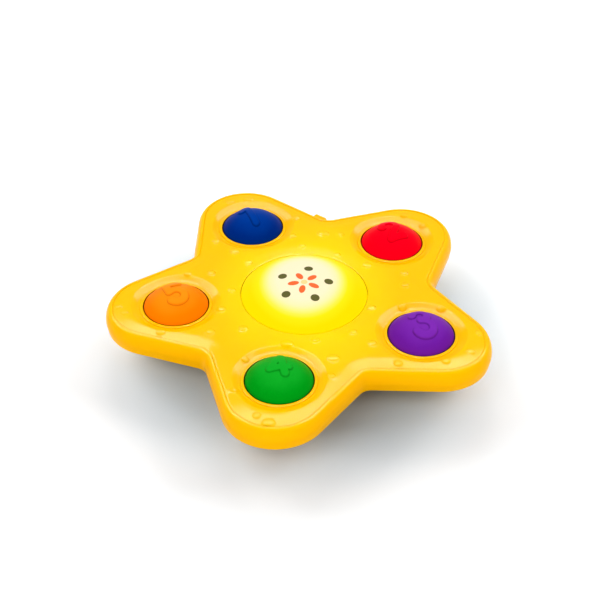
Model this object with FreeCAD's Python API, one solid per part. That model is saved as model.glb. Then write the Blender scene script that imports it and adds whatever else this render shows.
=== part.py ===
import FreeCAD, Part
import math
import os

# A star-shaped baby toy with suction cups. Five domed push buttons sit in the arms, and a
# milky lens in the middle glows. A tub-shaped lower shell closes the toy from below and holds
# the battery bay, the loudspeaker and one suction cup under each arm.
# Lengths are millimetres and angles are degrees. Z is up, the lips of the suction cups lie
# at z = 0, and the arm of the first button points along +Y.

# Star outline, seen from above, at its widest level
arm_count = 5
tip_ring = 88.8  # from the middle of the star to the centre of each round arm tip
tip_radius = 31.7
notch_ring = 89.0  # from the middle of the star to the centre of each hollow between arms
notch_radius = 7.6

# Heights of the housing
cup_height = 7.0  # from the table to the flat underside of the lower shell
tub_rise = 7.0  # from that underside to the foot of the side wall
wall_rise = 5.3  # from the foot of the wall to its widest level
shoulder_rise = 8.35  # height of the rounded shoulder
shoulder_width = 4.5
deck_rise = 0.75  # the deck stands this much above the shoulder, inside a fine step
bevel_width = 2.4
step_width = 0.4
step_depth = 0.35
wall_foot_inset = 0.75  # the wall narrows this much towards its foot

# Walls
shell_wall = 2.2
floor_wall = 2.0
tub_inset = 13.0  # from the widest outline to the edge of the flat underside
tub_bend_inset = 3.4
tub_bend_drop = 1.7
tub_edge_inset = 1.2
tongue_wall = 1.4
tongue_rise = 2.5
joint_gap = 0.15

# Push buttons and the dishes round them
button_ring = 77.8
button_radius = 19.4
button_height = 9.6  # dome above the rim of its hole
button_wall = 1.8
button_gap = 0.6  # dark ring between dome and shell
button_travel = 2.5
press_margin = 0.5  # left between a pressed button and the board
button_flange = 1.3  # how far the stop flange reaches under the collar
flange_thickness = 1.3
flange_play = 0.1
guide_depth = 3.0
collar_wall = 2.2
dish_radius = 27.0
dish_depth = 1.7
lip_width = 1.5
lip_rise = 0.4
plunger_radius = 4.2

# Lens in the middle
lens_radius = 38.4
lens_gap = 0.35
lens_height = 8.4
lens_wall = 1.8
lens_drop = 0.8  # the deck sinks this much towards the lens
lens_seat_width = 8.0
lens_flange = 2.4
lens_flange_thickness = 1.5
reflector_wall = 1.3
reflector_mouth = 12.0
reflector_margin = 5.0
reflector_screw_offset = 2.7

# Circuit board and what stands on it
board_thickness = 1.6
board_margin = 5.0  # round the screws near the board's edge
board_arm_width = 18.0
board_pad_radius = 11.0
key_height = 5.4  # free height of the rubber key under each button
key_radius = 6.8
key_play = 0.1
led_radius = 2.5
led_height = 4.6
led_ring = 6.5
led_count = 3
chip_side = 9.0
chip_height = 1.5
chip_angle = -54.0
chip_ring = 50.0

# Slide switch on the flank of the first arm
knob_length = 9.0
knob_height = 6.0
knob_depth = 3.6
knob_gap = 0.35
knob_travel = 8.0
knob_place = 3.1  # from the foot of the flank, at the notch, to the knob's middle at rest
knob_drop = 6.95  # middle of the knob below the top of the shoulder
stem_length = 3.2
stem_height = 2.4
slot_play = 0.3
shutter_thickness = 1.0
shutter_height = 4.2
switch_depth = 5.0
switch_height = 3.6
lever_length = 2.0
lever_height = 1.2

# Suction cups
cup_radius = 18.0
cup_lip = 0.9
cup_hollow = 3.4
cup_top_radius = 7.5
stem_radius = 3.4
stem_play = 0.1
mushroom_radius = 5.2
mushroom_height = 3.6

# Batteries and their bay
cell_radius = 5.25
cell_length = 44.5
cell_nub_radius = 1.9
cell_nub_length = 1.2
cell_count = 3
cell_spacing = 0.6
contact_depth = 3.2
contact_thickness = 0.4
bay_wall = 1.8
bay_roof = 1.0
bay_centre_y = -12.0
bay_play = 0.2
door_clearance = 3.5  # from the table to the outside of the battery door
door_thickness = 1.8
door_land = 2.0
door_tail = 9.0
door_gap = 0.3
bulge_wall = 2.2
door_tongue_rise = 1.6
door_tongue_wall = 1.0

# Loudspeaker
speaker_radius = 18.0
speaker_height = 7.6
speaker_centre_y = 42.0
magnet_radius = 9.0
speaker_ring_wall = 1.6
speaker_ring_rise = 3.0
speaker_play = 0.3
grille_hole_radius = 1.3
grille_pitch = 5.0
grille_rings = 2

# Screws
screw_radius = 1.5
screw_head_radius = 2.8
screw_head_height = 2.2
screw_grip = 3.0  # shell wall under each head
screw_length = 12.0
screw_play = 0.3
pillar_radius = 4.5
boss_radius = 4.0
notch_screw_ring = 68.0
tip_screw_ring = 104.0
small_screw_radius = 1.2
small_head_radius = 2.4
small_head_height = 1.4
post_radius = 3.4
post_gap = 2.7  # between a post for the board and the stud beside it
board_screw_length = 6.0
reflector_screw_length = 4.6
door_screw_radius = 1.4
door_screw_head_radius = 3.0
door_screw_head_height = 1.2
door_screw_length = 8.0
thread_play = 0.05

# Levels and radii that follow from the sizes above
wall_foot_z = cup_height + tub_rise
shoulder_z = wall_foot_z + wall_rise
rim_z = shoulder_z + shoulder_rise
deck_z = rim_z + deck_rise
deck_under_z = deck_z - shell_wall
bevel_inset = shoulder_width + step_width + bevel_width
floor_top_z = cup_height + floor_wall
hole_radius = button_radius + button_gap
button_rim_z = deck_z - dish_depth
collar_z = button_rim_z - guide_depth
button_top_z = button_rim_z + button_height
flange_top_z = collar_z - flange_play
flange_z = flange_top_z - flange_thickness
lens_hole_radius = lens_radius + lens_gap
lens_rim_z = deck_z - lens_drop
lens_seat_z = lens_rim_z - shell_wall
lens_flange_z = lens_seat_z - flange_play - lens_flange_thickness
lens_flange_radius = lens_radius + lens_flange
board_top_z = flange_z - button_travel - press_margin
board_z = board_top_z - board_thickness
reflector_screw_ring = lens_flange_radius + reflector_screw_offset
reflector_radius = lens_flange_radius + reflector_margin
post_ring = reflector_screw_ring + small_head_radius + post_gap + post_radius
board_radius = post_ring + board_margin
cell_pitch = 2 * cell_radius + cell_spacing
door_top_z = door_clearance + door_thickness
cell_z = door_top_z + bay_play + cell_radius
bay_half_length = cell_length / 2 + contact_depth
bay_half_width = cell_count * cell_pitch / 2
bay_top_z = cell_z + cell_radius + bay_play
door_half_length = bay_half_length + door_land
door_back_y = bay_centre_y + bay_half_width + door_land
door_front_y = bay_centre_y - bay_half_width - door_land - door_tail
door_screw_y = door_front_y + door_tail / 2

up = FreeCAD.Vector(0, 0, 1)
origin = FreeCAD.Vector(0, 0, 0)
arm_pitch = 360.0 / arm_count
half_pitch = arm_pitch / 2


def polar(radius, angle, z=0.0):
    """Point at a distance and an angle round the middle of the star."""
    turn = math.radians(angle)
    return FreeCAD.Vector(radius * math.cos(turn), radius * math.sin(turn), z)


def arm_angle(index):
    """Direction of an arm: the first points along +Y and the rest follow clockwise."""
    return 90.0 - arm_pitch * index


# The flank of an arm touches its tip circle and the hollow beside it. Its normal is the same
# at every inset, because one circle grows as much as the other shrinks.
tip_centre = polar(tip_ring, 0)
notch_centre = polar(notch_ring, half_pitch)
between = notch_centre - tip_centre
flank_normal = math.degrees(
    math.atan2(between.y, between.x) - math.acos((tip_radius + notch_radius) / between.Length)
)
star_reach_up = tip_ring + tip_radius
star_reach_down = tip_ring * math.cos(math.radians(half_pitch)) + tip_radius
to_origin = FreeCAD.Vector(0, (star_reach_down - star_reach_up) / 2, 0)


def profile_face(path, place):
    """Flat face round a closed path. A pair is a line to a point, four numbers are an arc
    through the first point to the second, and place turns each pair into a point in space."""
    edges = []
    here = path[0]
    for step in path[1:]:
        end = step[-2:]
        if len(step) == 2:
            edges.append(Part.LineSegment(place(*here), place(*end)).toShape())
        else:
            edges.append(Part.Arc(place(*here), place(*step[:2]), place(*end)).toShape())
        here = end
    edges.append(Part.LineSegment(place(*here), place(*path[0])).toShape())
    return Part.Face(Part.Wire(edges))


def turned(path, seam=0.0):
    """Solid of revolution about Z from a path of (radius, height) steps, starting at an angle."""
    face = profile_face(path, lambda radius, z: polar(radius, seam, z))
    return face.revolve(origin, up, 360)


def cylinder(radius, low, high, x=0.0, y=0.0):
    return Part.makeCylinder(radius, high - low, FreeCAD.Vector(x, y, low))


def box(low, high):
    size = [b - a for a, b in zip(low, high)]
    return Part.makeBox(*size, FreeCAD.Vector(*low))


def moved(shape, vector, angle=0.0):
    """Copy of a shape, moved and then turned about the middle of the star."""
    copy = shape.copy()
    copy.translate(vector)
    copy.rotate(origin, up, angle)
    return copy


def on_arms(shape, ring):
    """One copy of a shape in each arm, at a distance from the middle."""
    return [moved(shape, polar(ring, 0), arm_angle(i)) for i in range(arm_count)]


def in_notches(shape, ring):
    """One copy of a shape in each hollow between two arms."""
    turns = [arm_angle(i) - half_pitch for i in range(arm_count)]
    return [moved(shape, polar(ring, 0), turn) for turn in turns]


def joined(first, others):
    return first.multiFuse(others).removeSplitter()


def star_wire(inset, z):
    """Outline of the star, drawn in evenly by an inset."""
    tip = tip_radius - inset
    notch = notch_radius + inset
    edges = []
    for index in range(arm_count):
        turn = arm_angle(index) + arm_pitch
        flank = polar(1, flank_normal)
        points = [
            tip_centre + polar(tip, -flank_normal),
            tip_centre + polar(tip, 0),
            tip_centre + flank * tip,
            notch_centre - flank * notch,
            notch_centre - polar(notch, half_pitch),
            notch_centre - polar(notch, arm_pitch - flank_normal),
            polar(tip_ring, arm_pitch) + polar(tip, arm_pitch - flank_normal),
        ]
        p = [FreeCAD.Rotation(up, turn).multVec(point) + up * z for point in points]
        edges.append(Part.Arc(p[0], p[1], p[2]).toShape())
        edges.append(Part.LineSegment(p[2], p[3]).toShape())
        edges.append(Part.Arc(p[3], p[4], p[5]).toShape())
        edges.append(Part.LineSegment(p[5], p[6]).toShape())
    return Part.Wire(Part.__sortEdges__(edges))


def star_plate(inset, low, high):
    return Part.Face(star_wire(inset, low)).extrude(up * (high - low))


def star_ring(path):
    """Section of (inset, height) steps carried round the whole outline."""

    def section(point, outward):
        return profile_face(path, lambda inset, z: point - outward * inset + up * z)

    flank = polar(1, flank_normal)
    flank_low = polar(1, -flank_normal)
    tip_end = tip_centre + flank * tip_radius
    notch_start = notch_centre - flank * notch_radius
    tip = section(tip_centre + flank_low * tip_radius, flank_low)
    side = section(tip_end, flank).extrude(notch_start - tip_end)
    hollow = section(notch_start, flank)
    unit = [
        tip.revolve(tip_centre, up, 2 * flank_normal),
        side,
        side.mirror(origin, FreeCAD.Vector(0, 1, 0)),
        hollow.revolve(notch_centre, up, 2 * (half_pitch - flank_normal)),
    ]
    pieces = [moved(piece, origin, arm_angle(i)) for i in range(arm_count) for piece in unit]
    return joined(pieces[0], pieces[1:])


def sphere_height(radius, rise, at):
    """Height above its rim of a spherical cap, at a distance from its middle."""
    ball = (radius**2 + rise**2) / (2 * rise)
    return math.sqrt(ball**2 - at**2) - (ball - rise)


def shoulder_point(width, rise, phase):
    """Point on the quarter ellipse of a shoulder, as an inset and a height."""
    turn = math.radians(phase)
    return (width * (1 - math.cos(turn)), rise * math.sin(turn))


# The slide switch is built in its own frame: X runs along the flank of the first arm, away
# from the notch, Y points into the toy from the widest outline, and Z is up.
switch_turn = arm_angle(0) - flank_normal + 90.0
switch_root = FreeCAD.Rotation(up, arm_angle(0) - arm_pitch).multVec(
    polar(notch_ring, half_pitch)
) - polar(notch_radius, arm_angle(0) - flank_normal)
knob_z = rim_z - knob_drop


def at_switch(shape):
    """Place a shape drawn in the switch's frame, with X counted from the knob at rest."""
    copy = shape.copy()
    copy.translate(FreeCAD.Vector(knob_place, 0, 0))
    copy.rotate(origin, up, switch_turn)
    copy.translate(switch_root)
    return copy


def make_top_shell():
    """Deck and side wall in one moulding, with a dish round each button hole."""
    outer = [shoulder_point(shoulder_width, shoulder_rise, a) for a in (25, 50, 70, 90)]
    outer = [(inset, shoulder_z + z) for inset, z in outer]
    deck_inset = bevel_inset + shell_wall / 2
    inner_width = bevel_inset - shell_wall
    inner = shoulder_point(inner_width, deck_under_z - shoulder_z, 50)
    step_z = rim_z - step_depth
    wall = [
        (wall_foot_inset, wall_foot_z),
        (0, shoulder_z),
        outer[0] + outer[1],
        outer[2] + outer[3],
        (shoulder_width, step_z),
        (shoulder_width + step_width, step_z),
        (bevel_inset, deck_z),
        (deck_inset, deck_z),
        (deck_inset, deck_under_z),
        (bevel_inset, deck_under_z),
        (shell_wall + inner[0], shoulder_z + inner[1], shell_wall, shoulder_z),
        (wall_foot_inset + shell_wall, wall_foot_z),
    ]
    shell = star_ring(wall).fuse(star_plate(deck_inset, deck_under_z, deck_z))
    dish_foot = hole_radius + lip_width + lip_rise
    dish_mid = (dish_foot + dish_radius) / 2
    lip_z = button_rim_z - lip_rise
    well = turned(
        [
            (hole_radius, collar_z),
            (hole_radius + collar_wall, collar_z),
            (hole_radius + collar_wall, lip_z - shell_wall),
            (dish_radius, deck_under_z),
            (dish_radius, deck_z),
            (dish_mid, lip_z + (deck_z - lip_z) * 0.32, dish_foot, lip_z),
            (hole_radius + lip_width, button_rim_z),
            (hole_radius, button_rim_z),
        ],
        seam=90.0,
    )
    dish_air = turned(
        [
            (hole_radius + lip_width, button_rim_z),
            (dish_foot, lip_z),
            (dish_mid, lip_z + (deck_z - lip_z) * 0.32, dish_radius, deck_z),
            (dish_radius, 2 * deck_z),
            (hole_radius + lip_width, 2 * deck_z),
        ],
        seam=90.0,
    )
    shell = shell.cut(Part.makeCompound(on_arms(cylinder(dish_radius, 0, 2 * deck_z), button_ring)))
    shell = shell.cut(cylinder(lens_hole_radius + lens_seat_width, 0, 2 * deck_z))
    lens_seat = turned(
        [
            (lens_hole_radius, lens_seat_z),
            (lens_hole_radius + 1.5 * lens_flange, lens_seat_z),
            (lens_hole_radius + lens_seat_width, deck_under_z),
            (lens_hole_radius + lens_seat_width, deck_z),
            (lens_hole_radius, lens_rim_z),
        ]
    )
    boss = cylinder(boss_radius, wall_foot_z, deck_under_z + shell_wall / 2)
    post = cylinder(post_radius, board_top_z, deck_under_z + shell_wall / 2)
    stud_radius = small_head_radius
    stud = cylinder(stud_radius, lens_flange_z - flange_play, lens_rim_z - shell_wall / 2)
    additions = on_arms(well, button_ring) + [lens_seat] + in_notches(boss, notch_screw_ring)
    additions += on_arms(boss, tip_screw_ring) + in_notches(post, post_ring)
    additions += in_notches(stud, reflector_screw_ring)
    shell = joined(shell, additions)
    pilot = cylinder(screw_radius, wall_foot_z - 1, wall_foot_z - screw_grip + screw_length + 1)
    board_pilot = cylinder(
        small_screw_radius, board_top_z - 1, board_z + board_screw_length + small_head_height
    )
    stud_pilot = cylinder(
        small_screw_radius,
        lens_flange_z - 1,
        lens_flange_z - flange_play - reflector_wall + reflector_screw_length,
    )
    slot_half = stem_length / 2 + slot_play
    slot = box(
        (-slot_half, -shoulder_width, knob_z - stem_height / 2 - slot_play),
        (knob_travel + slot_half, 2 * shell_wall, knob_z + stem_height / 2 + slot_play),
    )
    holes = in_notches(pilot, notch_screw_ring) + on_arms(pilot, tip_screw_ring)
    holes += in_notches(board_pilot, post_ring) + in_notches(stud_pilot, reflector_screw_ring)
    holes.append(at_switch(slot))
    holes += on_arms(cylinder(hole_radius, 0, 2 * deck_z), button_ring)
    holes += on_arms(dish_air, button_ring)
    return shell.cut(Part.makeCompound(holes))


def make_bottom_shell():
    """Tub with the battery bay, the loudspeaker's ring and grille, and the screw pillars."""
    inner_inset = tub_inset + 0.6
    plate_inset = tub_inset + 1.2
    tongue_inset = wall_foot_inset + shell_wall + joint_gap
    side = [
        (tub_edge_inset, wall_foot_z),
        (tub_bend_inset, wall_foot_z - tub_bend_drop),
        (tub_inset, cup_height),
        (plate_inset, cup_height),
        (plate_inset, floor_top_z),
        (inner_inset, floor_top_z),
        (tongue_inset + tongue_wall, wall_foot_z),
        (tongue_inset + tongue_wall, wall_foot_z + tongue_rise),
        (tongue_inset, wall_foot_z + tongue_rise),
        (tongue_inset, wall_foot_z),
    ]
    shell = star_ring(side).fuse(star_plate(plate_inset, cup_height, floor_top_z))
    bulge = box(
        (-door_half_length - bulge_wall, door_front_y - bulge_wall, door_clearance),
        (door_half_length + bulge_wall, door_back_y + bulge_wall, floor_top_z),
    )
    upright = [edge for edge in bulge.Edges if abs(edge.tangentAt(0).z) > 0.9]
    bulge = bulge.makeFillet(bulge_wall + 1.5, upright)
    bay = box(
        (-bay_half_length - bay_wall, bay_centre_y - bay_half_width - bay_wall, cup_height),
        (bay_half_length + bay_wall, bay_centre_y + bay_half_width + bay_wall, bay_top_z + bay_roof),
    )
    screw_top_z = door_clearance + door_screw_length
    anchor = cylinder(pillar_radius, cup_height, screw_top_z + 2, 0, door_screw_y)
    ring_radius = speaker_radius + speaker_play
    speaker_ring = cylinder(
        ring_radius + speaker_ring_wall, cup_height, floor_top_z + speaker_ring_rise
    ).cut(cylinder(ring_radius, floor_top_z, deck_z))
    speaker_ring = moved(speaker_ring, FreeCAD.Vector(0, speaker_centre_y, 0))
    pillar = cylinder(pillar_radius, cup_height, wall_foot_z)
    pillars = in_notches(pillar, notch_screw_ring) + on_arms(pillar, tip_screw_ring)
    shell = joined(shell, [bulge, bay, anchor, speaker_ring] + pillars)

    cavity = box(
        (-bay_half_length, bay_centre_y - bay_half_width, door_clearance - 1),
        (bay_half_length, bay_centre_y + bay_half_width, bay_top_z),
    )
    recess = box(
        (-door_half_length - door_gap, door_front_y - door_gap, door_clearance - 1),
        (door_half_length + door_gap, door_back_y + door_gap, door_top_z),
    )
    head_seat_z = wall_foot_z - screw_grip
    sink = cylinder(screw_head_radius + screw_play, 0, head_seat_z)
    sink = sink.fuse(cylinder(screw_radius + screw_play, 0, wall_foot_z + 1))
    cuts = [cavity, recess]
    cuts += in_notches(sink, notch_screw_ring) + on_arms(sink, tip_screw_ring)
    cuts.append(cylinder(door_screw_radius + thread_play, 0, screw_top_z + 1, 0, door_screw_y))
    cuts += on_arms(cylinder(stem_radius + stem_play, 0, deck_z), button_ring)
    hole = cylinder(grille_hole_radius, 0, deck_z)
    for ring in range(grille_rings + 1):
        count = max(1, 6 * ring)
        for index in range(count):
            spot = polar(grille_pitch * ring, 360.0 * index / count)
            cuts.append(moved(hole, spot + FreeCAD.Vector(0, speaker_centre_y, 0)))
    return shell.cut(Part.makeCompound(cuts))


def make_button():
    """Domed cap with a skirt, a stop flange and a plunger for the rubber key."""
    inside = button_radius - button_wall
    mid = button_radius / 2
    mid_z = button_rim_z + sphere_height(button_radius, button_height, mid)
    inner_rise = button_height - button_wall
    inner_mid = inside / 2
    inner_mid_z = button_rim_z + sphere_height(inside, inner_rise, inner_mid)
    cap = turned(
        [
            (0, button_top_z),
            (mid, mid_z, button_radius, button_rim_z),
            (button_radius, flange_top_z),
            (hole_radius + button_flange, flange_top_z),
            (hole_radius + button_flange, flange_z),
            (inside, flange_z),
            (inside, button_rim_z),
            (inner_mid, inner_mid_z, 0, button_rim_z + inner_rise),
        ]
    )
    plunger = cylinder(
        plunger_radius, board_top_z + key_height + key_play, button_top_z - button_wall / 2
    )
    return cap.fuse(plunger).removeSplitter()


def make_rubber_key():
    """Hollow rubber key: its cone buckles when the plunger comes down."""
    base = board_top_z
    top = base + key_height
    wall = 0.9
    skirt = 0.8
    return turned(
        [
            (0, top),
            (plunger_radius, top),
            (key_radius - skirt, base + skirt),
            (key_radius, base + skirt),
            (key_radius, base),
            (key_radius - skirt - wall, base),
            (plunger_radius - wall, top - 2 * wall),
            (0, top - 2 * wall),
        ]
    )


def make_lens():
    """Shallow milky dome with a flange that sits under the deck."""
    inside = lens_radius - lens_wall
    mid = lens_radius / 2
    mid_z = lens_rim_z + sphere_height(lens_radius, lens_height, mid)
    inner_rise = lens_height - lens_wall
    inner_mid = inside / 2
    inner_mid_z = lens_rim_z + sphere_height(inside, inner_rise, inner_mid)
    flange_top = lens_seat_z - flange_play
    return turned(
        [
            (0, lens_rim_z + lens_height),
            (mid, mid_z, lens_radius, lens_rim_z),
            (lens_radius, flange_top),
            (lens_flange_radius, flange_top),
            (lens_flange_radius, lens_flange_z),
            (inside, lens_flange_z),
            (inside, lens_rim_z),
            (inner_mid, inner_mid_z, 0, lens_rim_z + inner_rise),
        ]
    )


def make_reflector():
    """White bowl that gathers the lamps' light and clamps the lens from below."""
    top = lens_flange_z - flange_play
    foot = board_top_z + flange_play
    bowl = turned(
        [
            (reflector_mouth, foot),
            (lens_radius - lens_wall, top - reflector_wall),
            (reflector_radius, top - reflector_wall),
            (reflector_radius, top),
            (lens_radius - lens_wall, top),
            (reflector_mouth, foot + reflector_wall),
        ]
    )
    hole = cylinder(small_screw_radius + screw_play, 0, deck_z)
    return bowl.cut(Part.makeCompound(in_notches(hole, reflector_screw_ring)))


def make_board():
    """Star-shaped circuit board with an ear that reaches the slide switch."""
    strip = box(
        (0, -board_arm_width / 2, board_z), (button_ring, board_arm_width / 2, board_top_z)
    )
    pad = cylinder(board_pad_radius, board_z, board_top_z, button_ring)
    disc = cylinder(board_radius, board_z, board_top_z)
    ear = box(
        (-stem_length, switch_inside, board_z),
        (knob_travel + knob_length, board_radius - board_arm_width, board_top_z),
    )
    pieces = on_arms(strip, 0) + on_arms(pad, 0) + [at_switch(ear)]
    board = joined(disc, pieces)
    hole = cylinder(small_screw_radius + screw_play, 0, deck_z)
    return board.cut(Part.makeCompound(in_notches(hole, post_ring)))


def make_leds():
    """Round lamps on the board, under the middle of the lens."""
    body_z = board_top_z + led_height - led_radius
    lamp = turned(
        [
            (0, board_top_z),
            (led_radius, board_top_z),
            (led_radius, body_z),
            (led_radius * math.sqrt(0.5), body_z + led_radius * math.sqrt(0.5), 0, body_z + led_radius),
        ]
    )
    turns = [360.0 * index / led_count for index in range(led_count)]
    return Part.makeCompound([moved(lamp, polar(led_ring, 0), turn) for turn in turns])


def make_chip():
    """Sound chip on the board."""
    half = chip_side / 2
    chip = box((-half, -half, board_top_z), (half, half, board_top_z + chip_height))
    return moved(chip, polar(chip_ring, 0), chip_angle)


# Faces of the slide switch, counted inwards from the widest outline
shutter_inside = 1.5 * shell_wall + shutter_thickness
switch_inside = shutter_inside + 2 * slot_play
switch_top_z = board_top_z + switch_height


def make_slider():
    """Knob, the stem through the wall's slot, and a shutter that keeps the slot covered."""
    grip = box(
        (-knob_length / 2, -knob_gap - knob_depth, knob_z - knob_height / 2),
        (knob_length / 2, -knob_gap, knob_z + knob_height / 2),
    )
    corners = [edge for edge in grip.Edges if abs(edge.tangentAt(0).y) > 0.9]
    grip = grip.makeFillet(1.0, corners)
    stem = box(
        (-stem_length / 2, -knob_gap - knob_depth / 2, knob_z - stem_height / 2),
        (stem_length / 2, shutter_inside, knob_z + stem_height / 2),
    )
    shutter_half = knob_travel + stem_length / 2 + 3 * slot_play
    shutter = box(
        (-shutter_half, shutter_inside - shutter_thickness, knob_z - shutter_height / 2),
        (shutter_half, shutter_inside, knob_z + shutter_height / 2),
    )
    return at_switch(joined(grip, [stem, shutter]))


def make_switch_case():
    """Slide switch on the board's ear, open towards the wall for its lever."""
    half = stem_length / 2 + lever_length
    case = box(
        (-half, switch_inside, board_top_z),
        (knob_travel + half, switch_inside + switch_depth, switch_top_z),
    )
    lever_half = lever_length / 2 + slot_play
    window = box(
        (-lever_half, switch_inside - 1, knob_z - lever_height / 2 - slot_play),
        (
            knob_travel + lever_half,
            switch_inside + switch_depth / 2 + slot_play,
            knob_z + lever_height / 2 + slot_play,
        ),
    )
    return at_switch(case.cut(window))


def make_switch_lever():
    """Lever of the slide switch, pushed along by the knob."""
    lever = box(
        (-lever_length / 2, shutter_inside, knob_z - lever_height / 2),
        (lever_length / 2, switch_inside + switch_depth / 2, knob_z + lever_height / 2),
    )
    return at_switch(lever)


def make_suction_cup():
    """Rubber cup whose stem is pulled through the shell's floor and held by its head."""
    head_z = floor_top_z
    cavity_radius = cup_radius - cup_lip
    cavity_mid_z = sphere_height(cavity_radius, cup_hollow, cavity_radius / 2)
    return turned(
        [
            (0, cup_hollow),
            (cavity_radius / 2, cavity_mid_z, cavity_radius, 0),
            (cup_radius, 0),
            (cup_radius * 0.98, cup_lip),
            (cup_radius * 0.72, cup_height * 0.5, cup_top_radius, cup_height - 0.4),
            (cup_top_radius - 0.6, cup_height),
            (stem_radius, cup_height),
            (stem_radius, head_z),
            (mushroom_radius, head_z),
            (mushroom_radius * 0.5, head_z + mushroom_height),
            (0, head_z + mushroom_height),
        ]
    )


def make_cell(index):
    """Battery cell lying along X. Neighbours lie head to tail."""
    body = Part.makeCylinder(
        cell_radius,
        cell_length - cell_nub_length,
        FreeCAD.Vector(-cell_length / 2, 0, 0),
        FreeCAD.Vector(1, 0, 0),
    )
    nub = Part.makeCylinder(
        cell_nub_radius,
        2 * cell_nub_length,
        FreeCAD.Vector(cell_length / 2 - 2 * cell_nub_length, 0, 0),
        FreeCAD.Vector(1, 0, 0),
    )
    cell = body.fuse(nub).removeSplitter()
    if index % 2:
        cell.rotate(origin, up, 180)
    cell.translate(FreeCAD.Vector(0, cell_row_y(index), cell_z))
    return cell


def cell_row_y(index):
    return bay_centre_y + (index - (cell_count - 1) / 2) * cell_pitch


def make_contacts(side):
    """Sheet-metal strip at one end of the bay, with a spring or a bump for each cell."""
    outside = bay_half_length - flange_play
    half_width = bay_half_width - bay_play
    strip = box(
        (outside - contact_thickness, bay_centre_y - half_width, door_top_z + bay_play),
        (outside, bay_centre_y + half_width, bay_top_z - bay_play),
    )
    pieces = []
    for index in range(cell_count):
        nub_here = (index % 2 == 0) == (side > 0)
        reach = cell_length / 2 + flange_play
        length = outside - reach
        wide = 1.4 * cell_nub_radius if nub_here else 2.0 * cell_nub_radius
        narrow = cell_nub_radius if nub_here else 1.4 * cell_nub_radius
        cone = Part.makeCone(
            narrow,
            wide,
            length,
            FreeCAD.Vector(reach, cell_row_y(index), cell_z),
            FreeCAD.Vector(1, 0, 0),
        )
        pieces.append(cone)
    strip = joined(strip, pieces)
    if side < 0:
        strip = strip.mirror(origin, FreeCAD.Vector(1, 0, 0))
    return strip


def make_door():
    """Battery door: a flat plate with two tongues and a sunk hole for its screw."""
    plate = box(
        (-door_half_length, door_front_y, door_clearance),
        (door_half_length, door_back_y, door_top_z),
    )
    corners = [edge for edge in plate.Edges if abs(edge.tangentAt(0).z) > 0.9]
    plate = plate.makeFillet(1.5, corners)
    tongue_half = bay_half_length / 6
    tongue_y = bay_centre_y - bay_half_width + bay_play
    tongues = []
    for x in (-bay_half_length / 2, bay_half_length / 2):
        tongues.append(
            box(
                (x - tongue_half, tongue_y, door_top_z - 0.5),
                (x + tongue_half, tongue_y + door_tongue_wall, door_top_z + door_tongue_rise),
            )
        )
    door = joined(plate, tongues)
    sink_radius = door_screw_head_radius + screw_play
    sink = cylinder(sink_radius, 0, door_clearance + door_screw_head_height, 0, door_screw_y)
    shank = cylinder(door_screw_radius + thread_play, 0, deck_z, 0, door_screw_y)
    return door.cut(Part.makeCompound([sink, shank]))


def make_screw(head_radius, head_height, radius, length, seat):
    """Screw with its head under a seat and its shank pointing up."""
    return cylinder(head_radius, seat - head_height, seat).fuse(
        cylinder(radius, seat - head_height / 2, seat - head_height + length)
    ).removeSplitter()


def make_housing_screws():
    seat = wall_foot_z - screw_grip
    length = screw_length + screw_head_height
    screw = make_screw(screw_head_radius, screw_head_height, screw_radius, length, seat)
    return Part.makeCompound(
        in_notches(screw, notch_screw_ring) + on_arms(screw, tip_screw_ring)
    )


def make_board_screws():
    length = board_screw_length + small_head_height
    screw = make_screw(
        small_head_radius, small_head_height, small_screw_radius, length, board_z
    )
    return Part.makeCompound(in_notches(screw, post_ring))


def make_reflector_screws():
    seat = lens_flange_z - flange_play - reflector_wall
    length = reflector_screw_length + small_head_height
    head_height = small_head_height / 2
    screw = make_screw(
        small_head_radius * 0.8, head_height, small_screw_radius, length - head_height, seat
    )
    return Part.makeCompound(in_notches(screw, reflector_screw_ring))


def make_door_screw():
    seat = door_clearance + door_screw_head_height
    screw = make_screw(
        door_screw_head_radius,
        door_screw_head_height,
        door_screw_radius,
        door_screw_length,
        seat,
    )
    return moved(screw, FreeCAD.Vector(0, door_screw_y, 0))


def make_speaker():
    """Basket and magnet of the loudspeaker, which faces down onto the grille."""
    low = floor_top_z + flange_play
    top = low + speaker_height
    rim = speaker_radius * 0.9
    frame = turned(
        [
            (0, top),
            (magnet_radius, top),
            (magnet_radius, low + speaker_height * 0.55),
            (speaker_radius, low + speaker_height * 0.2),
            (speaker_radius, low),
            (rim, low),
            (rim, low + speaker_height * 0.12),
            (magnet_radius - 1, low + speaker_height * 0.47),
            (0, low + speaker_height * 0.47),
        ]
    )
    return moved(frame, FreeCAD.Vector(0, speaker_centre_y, 0))


def make_speaker_cone():
    """Paper cone with its flat dust cap."""
    low = floor_top_z + flange_play
    rim = speaker_radius * 0.88
    neck = speaker_radius * 0.2
    cone = turned(
        [
            (0, low + speaker_height * 0.44),
            (neck, low + speaker_height * 0.44),
            (rim, low + speaker_height * 0.09),
            (rim, low + 0.1),
            (neck, low + speaker_height * 0.34),
            (0, low + speaker_height * 0.34),
        ]
    )
    return moved(cone, FreeCAD.Vector(0, speaker_centre_y, 0))


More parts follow.
